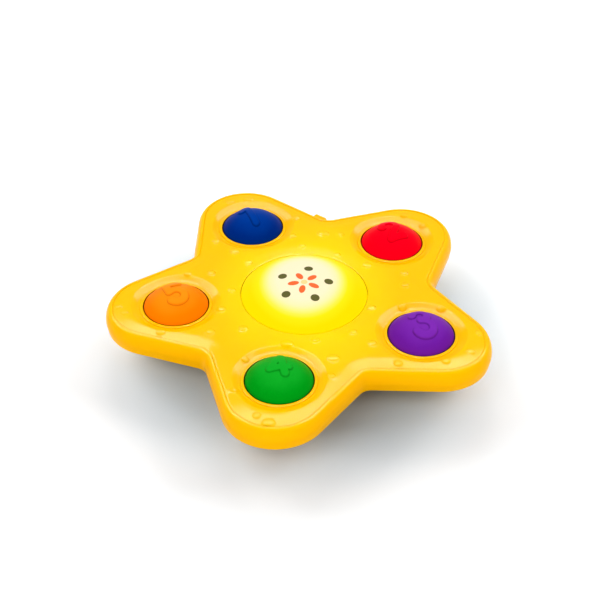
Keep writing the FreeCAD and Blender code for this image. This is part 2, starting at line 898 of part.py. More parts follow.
def main():
    os.makedirs("parts", exist_ok=True)
    nodes = {
        "top_shell": make_top_shell(),
        "bottom_shell": make_bottom_shell(),
        "lens": make_lens(),
        "reflector": make_reflector(),
        "main_board": make_board(),
        "leds": make_leds(),
        "sound_chip": make_chip(),
        "slider_knob": make_slider(),
        "switch_case": make_switch_case(),
        "switch_lever": make_switch_lever(),
        "speaker_frame": make_speaker(),
        "speaker_cone": make_speaker_cone(),
        "contacts_left": make_contacts(-1),
        "contacts_right": make_contacts(1),
        "battery_door": make_door(),
        "door_screw": make_door_screw(),
        "housing_screws": make_housing_screws(),
        "board_screws": make_board_screws(),
        "reflector_screws": make_reflector_screws(),
    }
    for index in range(cell_count):
        nodes[f"battery_{index + 1}"] = make_cell(index)
    parts_per_arm = {
        "button": make_button(),
        "rubber_key": make_rubber_key(),
        "suction_cup": make_suction_cup(),
    }
    for name, shape in parts_per_arm.items():
        for index, copy in enumerate(on_arms(shape, button_ring)):
            nodes[f"{name}_{index + 1}"] = copy
    for name, shape in nodes.items():
        shape.translate(to_origin)
        shape.exportStep(f"parts/{name}.step")
        solids = shape.Solids
        print(name, len(solids), "solid" if len(solids) == 1 else "solids", shape.isValid())
    print("levels", round(wall_foot_z, 2), round(shoulder_z, 2), round(rim_z, 2), round(deck_z, 2))
    print("board", round(board_z, 2), round(board_top_z, 2), "bay top", round(bay_top_z, 2))
    print("middle of the star at y", round(to_origin.y, 3))


main()
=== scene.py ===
import bpy
import bmesh
import math
import numpy as np
from mathutils import Matrix, Vector
from mathutils.geometry import delaunay_2d_cdt


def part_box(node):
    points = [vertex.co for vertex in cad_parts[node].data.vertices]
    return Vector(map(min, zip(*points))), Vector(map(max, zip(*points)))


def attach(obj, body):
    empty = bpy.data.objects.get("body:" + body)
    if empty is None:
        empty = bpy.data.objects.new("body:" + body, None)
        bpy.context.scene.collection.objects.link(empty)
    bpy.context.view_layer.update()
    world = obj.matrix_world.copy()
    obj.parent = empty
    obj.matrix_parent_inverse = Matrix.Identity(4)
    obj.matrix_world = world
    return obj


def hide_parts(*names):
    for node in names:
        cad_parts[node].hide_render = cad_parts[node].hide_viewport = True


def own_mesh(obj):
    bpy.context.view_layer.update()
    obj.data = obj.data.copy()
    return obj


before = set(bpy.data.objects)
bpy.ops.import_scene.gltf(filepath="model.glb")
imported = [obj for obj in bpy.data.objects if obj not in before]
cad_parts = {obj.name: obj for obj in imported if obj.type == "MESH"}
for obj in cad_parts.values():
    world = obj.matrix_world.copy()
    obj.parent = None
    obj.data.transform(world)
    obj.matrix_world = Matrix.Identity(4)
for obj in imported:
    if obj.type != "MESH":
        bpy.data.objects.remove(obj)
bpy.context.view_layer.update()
mm = 0.001  # sizes below are in millimetres, and meshes are scaled by this as they are made
print("frame loaded,", len(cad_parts), "nodes")


# Lowest and highest corner of a node, in millimetres
def nodeBox(node):
    low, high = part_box(node)
    return np.array(low) / mm, np.array(high) / mm


# Levels and places that come from the frame
shellLow, shellHigh = nodeBox("top_shell")
lensLow, lensHigh = nodeBox("lens")
middle = np.array([(lensLow[0] + lensHigh[0]) / 2, (lensLow[1] + lensHigh[1]) / 2])
deckZ = shellHigh[2]
footZ = shellLow[2]
arms = 5
batteries = 3
halfPitch = 180 / arms


# Middle of a node seen from above, counted from the middle of the star
def nodeSpot(node):
    low, high = nodeBox(node)
    return (low[:2] + high[:2]) / 2 - middle


# Where the photograph was taken from, and the pixel that looks at the middle of the star
photoView = {
    "azimuth": -25.739,
    "elevation": 38.827,
    "roll": 0.138,
    "distance": 733.8,
    "targetZ": 26.7,
    "lens": 72.28,
    "sensor": 36.0,
    "framePixels": 600,
    "middlePixel": (304.17, 293.96),
    "clip": (0.01, 20.0),
}


# The camera's place, its right, up and back directions, and its focal length in pixels
def cameraFrame():
    v = photoView
    turn, rise, roll = (math.radians(v[k]) for k in ("azimuth", "elevation", "roll"))
    back = np.array(
        [math.sin(turn) * math.cos(rise), -math.cos(turn) * math.cos(rise), math.sin(rise)]
    )
    level = np.array([math.cos(turn), math.sin(turn), 0])
    over = np.cross(back, level)
    right = math.cos(roll) * level + math.sin(roll) * over
    up = math.cos(roll) * over - math.sin(roll) * level
    place = np.array([0, 0, v["targetZ"]]) + back * v["distance"]
    return place, right, up, back, v["lens"] / v["sensor"] * v["framePixels"]


# Point at a height, counted from the middle of the star, that a pixel of the photograph shows
def underPixel(pixelX, pixelY, z):
    place, right, up, back, focal = cameraFrame()
    middleX, middleY = photoView["middlePixel"]
    ray = right * (pixelX - middleX) - up * (pixelY - middleY) - back * focal
    return (place + ray * (z - place[2]) / ray[2])[:2]


def polar(radius, degrees):
    turn = np.radians(degrees)
    return np.stack([radius * np.cos(turn), radius * np.sin(turn)], axis=-1)


# Directions on the ground: across the photo's view, and away from the camera
acrossView = polar(1, photoView["azimuth"])
intoView = polar(1, photoView["azimuth"] + 90)


def makeCamera():
    place, right, up, back, focal = cameraFrame()
    v = photoView
    data = bpy.data.cameras.new("photo_camera")
    camera = bpy.data.objects.new("photo_camera", data)
    bpy.context.scene.collection.objects.link(camera)
    turn = Matrix((right, up, back)).transposed().to_4x4()
    spot = Vector((place[0] + middle[0], place[1] + middle[1], place[2])) * mm
    camera.matrix_world = Matrix.Translation(spot) @ turn
    data.sensor_width = v["sensor"]
    data.lens = v["lens"]
    data.shift_x = 0.5 - v["middlePixel"][0] / v["framePixels"]
    data.shift_y = v["middlePixel"][1] / v["framePixels"] - 0.5
    data.clip_start, data.clip_end = v["clip"]
    bpy.context.scene.camera = camera


makeCamera()
print("camera made")


# A material with one Principled shader. Each keyword is a socket's name without spaces.
def newMaterial(name, color, **sockets):
    material = bpy.data.materials.new(name)
    material.use_nodes = True
    byName = {s.name.replace(" ", ""): s for s in shaderOf(material).inputs}
    for key, value in {"BaseColor": (*color, 1), **sockets}.items():
        byName[key].default_value = value
    return material


def shaderOf(material):
    return material.node_tree.nodes["Principled BSDF"]


def addNode(material, kind, **values):
    node = material.node_tree.nodes.new(kind)
    for key, value in values.items():
        setattr(node, key, value)
    return node


def link(material, output, socket):
    material.node_tree.links.new(output, socket)


def paint(material, color):
    link(material, color, shaderOf(material).inputs["Base Color"])


# Object coordinates, which stay with the piece as it moves
def placeOf(material):
    return addNode(material, "ShaderNodeTexCoord").outputs["Object"]


def heightOf(material):
    split = addNode(material, "ShaderNodeSeparateXYZ")
    link(material, placeOf(material), split.inputs[0])
    return split.outputs["Z"]


# The painted shade that the points of a mesh carry
def shadeOf(material):
    return addNode(material, "ShaderNodeAttribute", attribute_name="shade").outputs["Fac"]


# Distance from a spot, seen from above, along the two half sizes of a turned oval
def reachFrom(material, spot, turn=0.0, oval=(1, 1)):
    mapping = addNode(material, "ShaderNodeMapping", vector_type="TEXTURE")
    mapping.inputs["Location"].default_value = (*(spot * mm), 0)
    mapping.inputs["Rotation"].default_value[2] = math.radians(turn)
    mapping.inputs["Scale"].default_value = (*oval, 1)
    link(material, placeOf(material), mapping.inputs["Vector"])
    flat = addNode(material, "ShaderNodeVectorMath", operation="MULTIPLY")
    link(material, mapping.outputs["Vector"], flat.inputs[0])
    flat.inputs[1].default_value = (1, 1, 0)
    length = addNode(material, "ShaderNodeVectorMath", operation="LENGTH")
    link(material, flat.outputs["Vector"], length.inputs[0])
    return length.outputs["Value"]


def noiseOf(material, scale, detail, place=None):
    noise = addNode(material, "ShaderNodeTexNoise")
    noise.inputs["Scale"].default_value = scale
    noise.inputs["Detail"].default_value = detail
    link(material, place or placeOf(material), noise.inputs["Vector"])
    return noise.outputs["Fac"]


def spanOf(material, value, low, high, toLow=0.0, toHigh=1.0):
    node = addNode(material, "ShaderNodeMapRange")
    link(material, value, node.inputs["Value"])
    ends = {"From Min": low, "From Max": high, "To Min": toLow, "To Max": toHigh}
    for key, number in ends.items():
        node.inputs[key].default_value = number
    return node.outputs["Result"]


# Clouds, given by their scale per metre, their detail, the two values of the noise that they
# run between and, if not 0 and 1, what they give there
def cloudOf(material, scale, detail, *span):
    return spanOf(material, noiseOf(material, scale, detail), *span)


# A ramp with stops of (position, colour)
def rampOf(material, factor, stops):
    ramp = addNode(material, "ShaderNodeValToRGB")
    line = ramp.color_ramp
    while len(line.elements) < len(stops):
        line.elements.new(0.5)
    for element, (position, color) in zip(line.elements, stops):
        element.position = position
        element.color = (*color, 1)
    link(material, factor, ramp.inputs["Fac"])
    return ramp.outputs["Color"]


# Gives each socket an output, a colour or a number
def feed(material, sockets, values):
    for socket, value in zip(sockets, values):
        if isinstance(value, bpy.types.NodeSocket):
            link(material, value, socket)
        elif isinstance(value, (tuple, list)):
            socket.default_value = (*value, 1)
        else:
            socket.default_value = value


def mixOf(material, factor, first, second):
    mix = addNode(material, "ShaderNodeMix", data_type="RGBA")
    colors = [s for s in mix.inputs if s.type == "RGBA"]
    feed(material, [mix.inputs["Factor"], *colors], (factor, first, second))
    return next(s for s in mix.outputs if s.type == "RGBA")


def mathOf(material, operation, first, second):
    node = addNode(material, "ShaderNodeMath", operation=operation)
    feed(material, node.inputs, (first, second))
    return node.outputs["Value"]


def scaled(color, share):
    return tuple(min(1, share * c) for c in color)


# Moulded skin: a faint unevenness in height and gloss. The scale of the grain counts per metre,
# and its depth is in millimetres.
skinFinish = {"grainDetail": 2.0, "cloudSize": 12, "cloudDetail": 4.0, "cloudSpan": (0.3, 0.7)}


def addSkin(material, scale, depth, glossLow, glossHigh):
    f = skinFinish
    bump = addNode(material, "ShaderNodeBump")
    bump.inputs["Strength"].default_value = 1.0
    bump.inputs["Distance"].default_value = depth * mm
    link(material, noiseOf(material, scale, f["grainDetail"]), bump.inputs["Height"])
    link(material, bump.outputs["Normal"], shaderOf(material).inputs["Normal"])
    clouds = (scale / f["cloudSize"], f["cloudDetail"], *f["cloudSpan"])
    gloss = cloudOf(material, *clouds, glossLow, glossHigh)
    link(material, gloss, shaderOf(material).inputs["Roughness"])


# Warm yellow plastic of the shell, with a painted glow of the lens's light on the deck round the lens, and
# painted shade that makes the wall a little deeper. The glow is an oval that is longer away from the
# camera.
shellFinish = {
    # byLens is the deck's colour with the painted glow of the lens's light
    "byLens": (1.0, 0.65, 0.0),
    "arms": (1.0, 0.515, 0.0),
    # wall is the colour of the side wall, made deeper by painted shade
    "wall": (1.0, 0.47, 0.0),
    "cloudColor": (0.98, 0.49, 0.0),
    "clouds": (28, 5.0, 0.45, 0.75, 0, 0.5),
    "glowFrom": 33.0,
    "glowTo": 60.0,
    "glowTurn": -25.7,
    "glowLength": 1.35,
    # wallTop and wallLow are where the painted wall shade begins and where it is full
    "wallTop": 27.5,
    "wallLow": 26.2,
    "specular": 0.025,
    "sheen": (1.0, 0.95, 0.8),
    "skin": (1400, 0.012),
    "gloss": (0.11, 0.15),
    # crease and seam are painted shade: colours for the creases and grooves, and for the gaps round the
    # holes
    "crease": (0.70, 0.40, 0.0),
    "seam": (0.24, 0.10, 0.0),
}


def shellPlastic():
    f = shellFinish
    sockets = {"SpecularIORLevel": f["specular"], "SpecularTint": (*f["sheen"], 1)}
    material = newMaterial("shell_plastic", f["arms"], **sockets)
    # Painted light: near the lens the deck turns to the byLens colour, a glow of the lens's light
    reach = reachFrom(material, middle, f["glowTurn"], (1, f["glowLength"]))
    glow = spanOf(material, reach, f["glowFrom"] * mm, f["glowTo"] * mm)
    deck = mixOf(material, glow, f["byLens"], f["arms"])
    # Painted shade: below wallTop the colour turns to the deeper wall colour, as the side wall takes less
    # light
    low = spanOf(material, heightOf(material), f["wallTop"] * mm, f["wallLow"] * mm)
    color = mixOf(material, low, deck, f["wall"])
    color = mixOf(material, cloudOf(material, *f["clouds"]), color, f["cloudColor"])
    shade = shadeOf(material)
    # Painted shade: shade up to 1 turns the colour towards the crease colour in creases and grooves
    color = mixOf(material, mathOf(material, "MINIMUM", shade, 1), color, f["crease"])
    # Painted shade: shade above 1 turns it towards the dark seam colour in the gaps round the holes
    color = mixOf(material, mathOf(material, "SUBTRACT", shade, 1), color, f["seam"])
    paint(material, color)
    addSkin(material, *f["skin"], *f["gloss"])
    return material


# One coloured plastic for each push button: a slot name, which nothing uses, its colour, and a paler one
# that is painted towards the top of the dome as painted light. Distances are in millimetres.
buttonColors = {
    "button_1": ("button_blue", (0.0, 0.020, 0.20), (0.0, 0.038, 0.28)),
    "button_2": ("button_red", (0.92, 0.0, 0.010), (0.93, 0.0, 0.011)),
    "button_3": ("button_purple", (0.14, 0.010, 0.33), (0.19, 0.022, 0.40)),
    "button_4": ("button_green", (0.0, 0.30, 0.008), (0.006, 0.38, 0.020)),
    "button_5": ("button_orange", (1.0, 0.20, 0.0), (1.0, 0.27, 0.006)),
}
buttonFinish = {
    # paleRise and deepUpTo set the painted light: the dome turns paler towards its top, as light falls on
    # it
    "paleRise": 9,
    "deepUpTo": 0.35,
    "clouds": (60, 4.0, 0.3, 0.7, -0.12, 0.12),
    # rimDrop, rimFade and rimShade set the painted shade on the skirt below the rim, in the gap
    "rimDrop": 0.25,
    "rimFade": 0.15,
    "rimShade": 0.25,
    # footShade is the painted shade at the foot of the numerals
    "footShade": 0.45,
    "specular": 0.02,
    "skin": (1300, 0.01),
    "gloss": (0.36, 0.44),
}


def buttonPlastic(node):
    f = buttonFinish
    top = nodeBox(node)[1][2]
    slotName, deep, pale = buttonColors[node]
    sockets = {"SpecularIORLevel": f["specular"], "SpecularTint": (*pale, 1)}
    material = newMaterial(node + "_plastic", deep, **sockets)
    height = heightOf(material)
    # Painted light: from paleRise below the top upwards the colour turns paler, as if lit from above
    rise = spanOf(material, height, (top - f["paleRise"]) * mm, top * mm)
    both = mathOf(material, "ADD", rise, cloudOf(material, *f["clouds"]))
    color = rampOf(material, both, [(0, deep), (f["deepUpTo"], deep), (1, pale)])
    # Painted shade: below the rim, down in the gap, the dome's skirt turns dark
    rim = (buttonRimZ - f["rimDrop"]) * mm
    below = spanOf(material, height, rim, rim - f["rimFade"] * mm)
    color = mixOf(material, below, color, scaled(deep, f["rimShade"]))
    # Painted shade: the colour darkens along the foot of the numerals' strokes
    color = mixOf(material, shadeOf(material), color, scaled(deep, f["footShade"]))
    paint(material, color)
    addSkin(material, *f["skin"], *f["gloss"])
    return material


# Milky plastic of the lens. Its glow is painted light: an emission, with a base colour at half its
# strength, in a ramp that stands in for the light of the lamps below shining through. The glow is an oval,
# counted across the camera's view and away from the camera.
lensFinish = {
    "glowAt": (-0.5, 5.0),
    "glowReach": (25.0, 31.0),
    "stops": [
        (0.0, (1.0, 0.875, 0.60)),
        (0.50, (1.0, 0.875, 0.57)),
        (0.62, (1.0, 0.875, 0.46)),
        (0.70, (1.0, 0.875, 0.26)),
        (0.77, (1.0, 0.86, 0.085)),
        (0.84, (1.0, 0.82, 0.006)),
        (1.0, (1.0, 0.74, 0.0)),
    ],
    "ramp": 1.3,
    "strength": 0.5,
    "bodyShade": 0.5,
    "specular": 0.02,
    "skin": (900, 0.008),
    "gloss": (0.28, 0.34),
}


def milkyPlastic():
    f = lensFinish
    material = newMaterial("milky_plastic", f["stops"][0][1], SpecularIORLevel=f["specular"])
    across, away = f["glowAt"]
    oval = [v * mm for v in f["glowReach"]]
    spot = middle + across * acrossView + away * intoView
    reach = reachFrom(material, spot, photoView["azimuth"], oval)
    # Painted light: the ramp of the glow gives both the emission and the base colour
    glow = rampOf(material, spanOf(material, reach, 0, f["ramp"]), f["stops"])
    paint(material, mixOf(material, f["bodyShade"], glow, (0, 0, 0)))
    link(material, glow, shaderOf(material).inputs["Emission Color"])
    shaderOf(material).inputs["Emission Strength"].default_value = f["strength"]
    addSkin(material, *f["skin"], *f["gloss"])
    return material


# Plain plastics and rubbers: colour, roughness and depth of the skin
plasticColors = {
    "black_plastic": ((0.015, 0.015, 0.017), 0.5, 0.015),
    "reflector_white": ((0.85, 0.85, 0.82), 0.45, 0.015),
    "lamp_epoxy": ((0.95, 0.92, 0.75), 0.15, 0.002),
    "cell_sleeve": ((0.020, 0.055, 0.13), 0.3, 0.004),
    "cell_sleeve_end": ((0.46, 0.47, 0.49), 0.3, 0.004),
    "cone_paper": ((0.03, 0.03, 0.031), 0.85, 0.05),
    "grey_silicone": ((0.30, 0.30, 0.30), 0.6, 0.02),
    "carbon_pill": ((0.02, 0.02, 0.02), 0.7, 0.01),
}
plasticFinish = {"clouds": (45, 5.0, 0.3, 0.75), "cloudShade": 0.86, "grain": 1500, "spread": (0.05, 0.07)}


def mouldedPlastic(name):
    f = plasticFinish
    color, roughness, skin = plasticColors[name]
    material = newMaterial(name, color)
    clouds = cloudOf(material, *f["clouds"])
    paint(material, mixOf(material, clouds, color, scaled(color, f["cloudShade"])))
    below, above = f["spread"]
    addSkin(material, f["grain"], skin, roughness - below, roughness + above)
    return material


# Brushed metal, with its grain stretched along Z
steelFinish = {
    "color": (0.56, 0.56, 0.58),
    "dull": 0.7,
    "stretch": (1, 1, 30),
    "grain": (220, 4.0),
    "toneSpan": (0.35, 0.8),
    "glossSpan": (0.3, 0.7),
    "gloss": (0.22, 0.42),
}


def brushedSteel():
    f = steelFinish
    material = newMaterial("zinc_steel", f["color"], Metallic=1.0)
    mapping = addNode(material, "ShaderNodeMapping")
    link(material, placeOf(material), mapping.inputs["Vector"])
    mapping.inputs["Scale"].default_value = f["stretch"]
    grain = noiseOf(material, *f["grain"], mapping.outputs["Vector"])
    tone = spanOf(material, grain, *f["toneSpan"])
    paint(material, mixOf(material, tone, f["color"], scaled(f["color"], f["dull"])))
    gloss = spanOf(material, grain, *f["glossSpan"], *f["gloss"])
    link(material, gloss, shaderOf(material).inputs["Roughness"])
    return material


# A mesh object from points in millimetres, smooth except along edges sharper than an angle
def addPiece(
    name, points, faces, material, body, crease=38, replaced=(), shade=None, finish=None
):
    mesh = bpy.data.meshes.new(name)
    mesh.from_pydata((np.asarray(points, float) * mm).tolist(), [], [list(f) for f in faces])
    if shade is not None:
        mesh.attributes.new("shade", "FLOAT", "POINT").data.foreach_set("value", shade)
    work = bmesh.new()
    work.from_mesh(mesh)
    bmesh.ops.recalc_face_normals(work, faces=work.faces)
    work.to_mesh(mesh)
    work.free()
    mesh.shade_smooth()
    mesh.set_sharp_from_angle(angle=math.radians(crease))
    for item in material if isinstance(material, list) else [material]:
        mesh.materials.append(item)
    if finish is not None:
        mesh.polygons.foreach_set("material_index", finish)
    piece = bpy.data.objects.new(name, mesh)
    bpy.context.scene.collection.objects.link(piece)
    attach(piece, body)
    if replaced:
        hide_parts(*replaced)
    return piece


# Star outline at its widest level, and the section of the top shell below and inside it. The
# lens edge is a drop, a slope and a rounding, and each side of a lip a slope, a shift and a
# rounding. The dish edge is the margin round the dish that it is blended over, and a rounding.
starForm = {
    "tipRing": 88.8,
    "tipRadius": 31.7,
    "notchRing": 89.0,
    "notchRadius": 7.6,
    "firstArm": 18.0,
    "tipSteps": 40,
    "notchSteps": 12,
    "flankSteps": 6,
}
shellForm = {
    "wall": 2.2,
    "footInset": 0.75,
    "widestRise": 5.3,
    "deckRise": 0.75,
    "shoulderWidth": 4.5,
    "stepWidth": 0.4,
    "stepDepth": 0.35,
    "bevelWidth": 7.6,
    "bevelRounding": 0.25,
    "lensGap": 0.35,
    "lensDrop": 0.8,
    "lensSeat": 8.0,
    "lensLedge": 3.6,
    "lensRadius": 38.4,
    "lensEdge": (0.3, 2.2, 0.2),
    "seatRounding": 0.03,
    "domeRadius": 19.3,
    "buttonGap": 0.7,
    "dishRadius": 27.0,
    "dishDepth": 1.7,
    "dishFlat": 1.3,
    "dishSlope": 0.03,
    "dishRounding": 0.5,
    "dishEdge": (3, 0.14),
    "lipWidth": 1.5,
    "lipRise": 0.4,
    "lipOutside": (2.2, 0.15, 0.2),
    "lipInside": (1.2, 0.02, 0.3),
    "crease": 0.22,
    "creaseWidth": 0.35,
    "collarWall": 2.2,
    "guideDepth": 3.0,
    "seamDepth": 0.2,
    "skinWidth": 2.8,
}
# Slot of the slide switch, in the flank between the first and the second button
slotForm = {"start": 1.2, "end": 13.0, "steps": 3, "drop": 6.95, "half": 1.5}

tipCentre = np.array([starForm["tipRing"], 0.0])
notchCentre = polar(starForm["notchRing"], halfPitch)
tipToNotch = notchCentre - tipCentre
flankTurn = math.degrees(
    math.atan2(tipToNotch[1], tipToNotch[0])
    - math.acos((starForm["tipRadius"] + starForm["notchRadius"]) / np.hypot(*tipToNotch))
)
widestZ = footZ + shellForm["widestRise"]
rimZ = deckZ - shellForm["deckRise"]
stepZ = rimZ - shellForm["stepDepth"]
bevelFoot = shellForm["shoulderWidth"] + shellForm["stepWidth"]
skinTop = shellForm["shoulderWidth"] + shellForm["skinWidth"]
deckUnderZ = deckZ - shellForm["wall"]
buttonRimZ = deckZ - shellForm["dishDepth"]
collarZ = buttonRimZ - shellForm["guideDepth"]
lensRadius = shellForm["lensRadius"]
lensHole = lensRadius + shellForm["lensGap"]
lensRimZ = deckZ - shellForm["lensDrop"]
buttonSpots = [nodeSpot(f"button_{i + 1}") for i in range(arms)]
domeRadius = shellForm["domeRadius"]
holeRadius = domeRadius + shellForm["buttonGap"]
slotTop = rimZ - slotForm["drop"] + slotForm["half"]
slotBottom = rimZ - slotForm["drop"] - slotForm["half"]


# Points of the widest outline and the outward direction at each, once round the star
def outlineColumns():
    s = starForm
    notchStart = notchCentre - polar(s["notchRadius"], flankTurn)
    tipEnd = tipCentre + polar(s["tipRadius"], flankTurn)
    length = np.hypot(*(tipEnd - notchStart))
    nearNotch = np.linspace(slotForm["start"], slotForm["end"], slotForm["steps"] + 1)
    stops = np.concatenate([nearNotch, np.linspace(slotForm["end"], length, s["flankSteps"])[1:-1]])
    farNormal = 2 * halfPitch - flankTurn
    notchEnd = notchCentre - polar(s["notchRadius"], farNormal)
    nextTip = polar(s["tipRing"], 2 * halfPitch) + polar(s["tipRadius"], farNormal)
    unit = []
    for turn in np.linspace(-flankTurn, flankTurn, s["tipSteps"] + 1):
        unit.append((tipCentre + polar(s["tipRadius"], turn), turn))
    for stop in stops[::-1]:
        unit.append((notchStart + (tipEnd - notchStart) * stop / length, flankTurn))
    for turn in np.linspace(flankTurn, farNormal, s["notchSteps"] + 1):
        unit.append((notchCentre - polar(s["notchRadius"], turn), turn))
    slotColumn = len(unit)
    for stop in stops:
        unit.append((notchEnd + (nextTip - notchEnd) * stop / length, farNormal))
    points, normals = [], []
    for arm in range(arms):
        turn = math.radians(s["firstArm"] + 2 * halfPitch * arm)
        spin = np.array([[math.cos(turn), math.sin(turn)], [-math.sin(turn), math.cos(turn)]])
        points += [p @ spin for p, normal in unit]
        normals += [polar(1, normal) @ spin for p, normal in unit]
    return np.array(points), np.array(normals), slotColumn


outlinePoints, outlineNormals, slotColumn = outlineColumns()


def outlineAt(inset):
    return outlinePoints - outlineNormals * inset


# How far points lie inside the widest outline
def insetAt(x, y):
    s = starForm
    turn = np.degrees(np.arctan2(y, x)) - s["firstArm"]
    folded = np.radians(np.abs((turn + halfPitch) % (2 * halfPitch) - halfPitch))
    reach = np.hypot(x, y)
    px, py = reach * np.cos(folded), reach * np.sin(folded)
    tip = s["tipRadius"] - np.hypot(px - s["tipRing"], py)
    notch = np.hypot(px - notchCentre[0], py - notchCentre[1]) - s["notchRadius"]
    flankUnit = polar(1, flankTurn)
    flank = tipCentre @ flankUnit + s["tipRadius"] - px * flankUnit[0] - py * flankUnit[1]
    byTip = np.degrees(np.arctan2(py, px - s["tipRing"])) <= flankTurn
    toNotch = np.degrees(np.arctan2(notchCentre[1] - py, notchCentre[0] - px))
    byNotch = (toNotch > 0) & (toNotch <= flankTurn)
    return np.where(byTip, tip, np.where(byNotch, notch, flank))


# The lower of two heights, rounded where they cross
def softLower(first, second, rounding):
    near = np.maximum(rounding - np.abs(first - second), 0) / rounding
    return np.minimum(first, second) - near * near * rounding / 4


# Height of the dish round a button, at a distance from the button's middle
def dishHeight(reach):
    f = shellForm
    lipEnd = holeRadius + f["lipWidth"]
    floorStart = lipEnd + f["lipRise"]
    floorZ = buttonRimZ - f["lipRise"]
    slope = (deckZ - floorZ) / (f["dishRadius"] - floorStart - f["dishFlat"])
    climb = deckZ + (reach - f["dishRadius"]) * slope
    floor = -softLower(-floorZ - f["dishSlope"] * (reach - floorStart), -climb, f["dishRounding"])
    groove = np.maximum(0, 1 - np.abs(reach - floorStart) / f["creaseWidth"]) * f["crease"]
    slope, shift, rounding = f["lipOutside"]
    lip = softLower(buttonRimZ + 0 * reach, buttonRimZ + slope * (lipEnd + shift - reach), rounding)
    slope, shift, rounding = f["lipInside"]
    lip = softLower(lip, buttonRimZ + slope * (reach - holeRadius) + shift, rounding)
    return np.where(reach < floorStart, np.maximum(lip, floorZ), floor) - groove


# Raised drops on the deck: the photo's pixel at the middle of each, its size across the
# view and towards the camera in millimetres, and its height
dropForm = {
    "rings": (0.35, 0.6, 0.76, 0.86, 0.93, 0.98, 1.0, 1.05),
    "steps": 24,
    "shoulder": 4.0,
    "clear": 1.25,
    "spots": [
        (230.6, 202.0, 6.0, 4.5, 0.8),
        (248.8, 199.3, 8.0, 5.0, 1.0),
        (215.9, 241.0, 5.0, 4.5, 0.8),
        (234.7, 251.3, 6.5, 5.5, 1.0),
        (248.7, 262.3, 5.0, 4.5, 0.8),
        (292.3, 235.7, 5.5, 5.0, 0.9),
        (296.3, 217.5, 5.0, 4.5, 0.8),
        (323.1, 233.6, 8.0, 5.5, 1.0),
        (340.9, 234.6, 5.0, 4.5, 0.8),
        (302.4, 245.9, 4.5, 4.0, 0.8),
        (337.0, 254.5, 4.5, 4.0, 0.8),
        (367.0, 265.1, 6.0, 5.0, 0.9),
        (404.0, 215.5, 6.0, 4.5, 0.9),
        (423.6, 225.5, 6.0, 4.5, 0.9),
        (404.2, 273.1, 5.0, 4.5, 0.8),
        (405.3, 285.0, 5.0, 4.5, 0.8),
        (211.4, 273.0, 5.5, 5.0, 0.9),
        (188.0, 274.0, 5.5, 4.5, 0.9),
        (232.0, 289.8, 5.0, 4.5, 0.8),
        (221.3, 309.0, 6.0, 5.0, 0.9),
        (118.1, 306.0, 5.0, 4.0, 0.8),
        (124.3, 312.5, 5.0, 4.0, 0.8),
        (160.8, 331.8, 6.0, 4.5, 0.9),
        (210.0, 331.5, 6.0, 5.0, 0.9),
        (243.0, 328.6, 6.0, 5.0, 0.9),
        (245.1, 358.3, 5.0, 4.5, 0.8),
        (235.1, 389.3, 5.5, 4.5, 0.9),
        (256.6, 415.2, 5.0, 4.5, 0.8),
        (268.5, 422.4, 8.0, 6.0, 1.1),
        (287.0, 344.0, 8.0, 6.0, 1.1),
        (315.6, 339.9, 5.0, 4.5, 0.8),
        (333.0, 358.1, 8.0, 5.5, 1.0),
        (331.1, 375.7, 5.0, 4.5, 0.8),
        (352.8, 331.7, 5.0, 4.5, 0.8),
        (372.4, 343.4, 5.5, 5.0, 0.9),
        (371.0, 307.2, 6.0, 5.0, 0.9),
        (402.2, 306.5, 5.5, 5.0, 0.9),
        (441.6, 308.0, 6.0, 5.0, 0.9),
        (398.2, 363.0, 5.5, 4.5, 0.9),
        (446.0, 361.0, 5.5, 4.5, 0.9),
        (471.0, 351.4, 5.5, 4.5, 0.9),
        (479.2, 332.1, 5.0, 4.5, 0.8),
    ],
}
dropSpots = [(underPixel(x, y, deckZ), a / 2, d / 2, h) for x, y, a, d, h in dropForm["spots"]]


# Height that the drops add at points of the deck
def dropHeight(x, y):
    total = np.zeros_like(x)
    for spot, across, deep, height in dropSpots:
        u = ((x - spot[0]) * acrossView[0] + (y - spot[1]) * acrossView[1]) / across
        v = ((x - spot[0]) * intoView[0] + (y - spot[1]) * intoView[1]) / deep
        reach = np.minimum(np.hypot(u, v), 1)
        total = np.maximum(total, height * (1 - reach ** dropForm["shoulder"]))
    return total


# Height of the deck, with its bevel, lens seat, dishes and drops
def deckHeight(x, y):
    f = shellForm
    depth = insetAt(x, y) - bevelFoot
    groove = np.maximum(0, 1 - depth / f["creaseWidth"]) * f["crease"]
    slope = (deckZ - stepZ) / f["bevelWidth"]
    z = softLower(deckZ + 0 * depth, stepZ + depth * slope, f["bevelRounding"]) - groove
    reach = np.hypot(x, y)
    seat = lensRimZ + (reach - lensHole) * f["lensDrop"] / f["lensSeat"]
    z = softLower(z, seat, f["seatRounding"])
    drop, slope, rounding = f["lensEdge"]
    z = softLower(z, lensRimZ - drop + slope * (reach - lensHole), rounding)
    margin, rounding = f["dishEdge"]
    for spot in buttonSpots:
        away = np.hypot(x - spot[0], y - spot[1])
        z = np.where(away < f["dishRadius"] + margin, softLower(z, dishHeight(away), rounding), z)
    return z + dropHeight(x, y)


# Height of the deck's underside, with its collars and the ledge over the lens flange
def underHeight(x, y):
    f = shellForm
    depth = np.clip((insetAt(x, y) - f["wall"]) / (skinTop - f["wall"]), 0, 1)
    z = widestZ + (deckUnderZ - widestZ) * np.sqrt(1 - (1 - depth) ** 2)
    reach = np.hypot(x, y)
    ledge = lensRimZ - f["wall"]
    z = np.where(reach < lensHole + f["lensLedge"], ledge, z)
    for spot in buttonSpots:
        away = np.hypot(x - spot[0], y - spot[1])
        z = np.where(away < f["dishRadius"], np.minimum(z, dishHeight(away) - f["wall"]), z)
        z = np.where(away < holeRadius + f["collarWall"], collarZ, z)
    return z


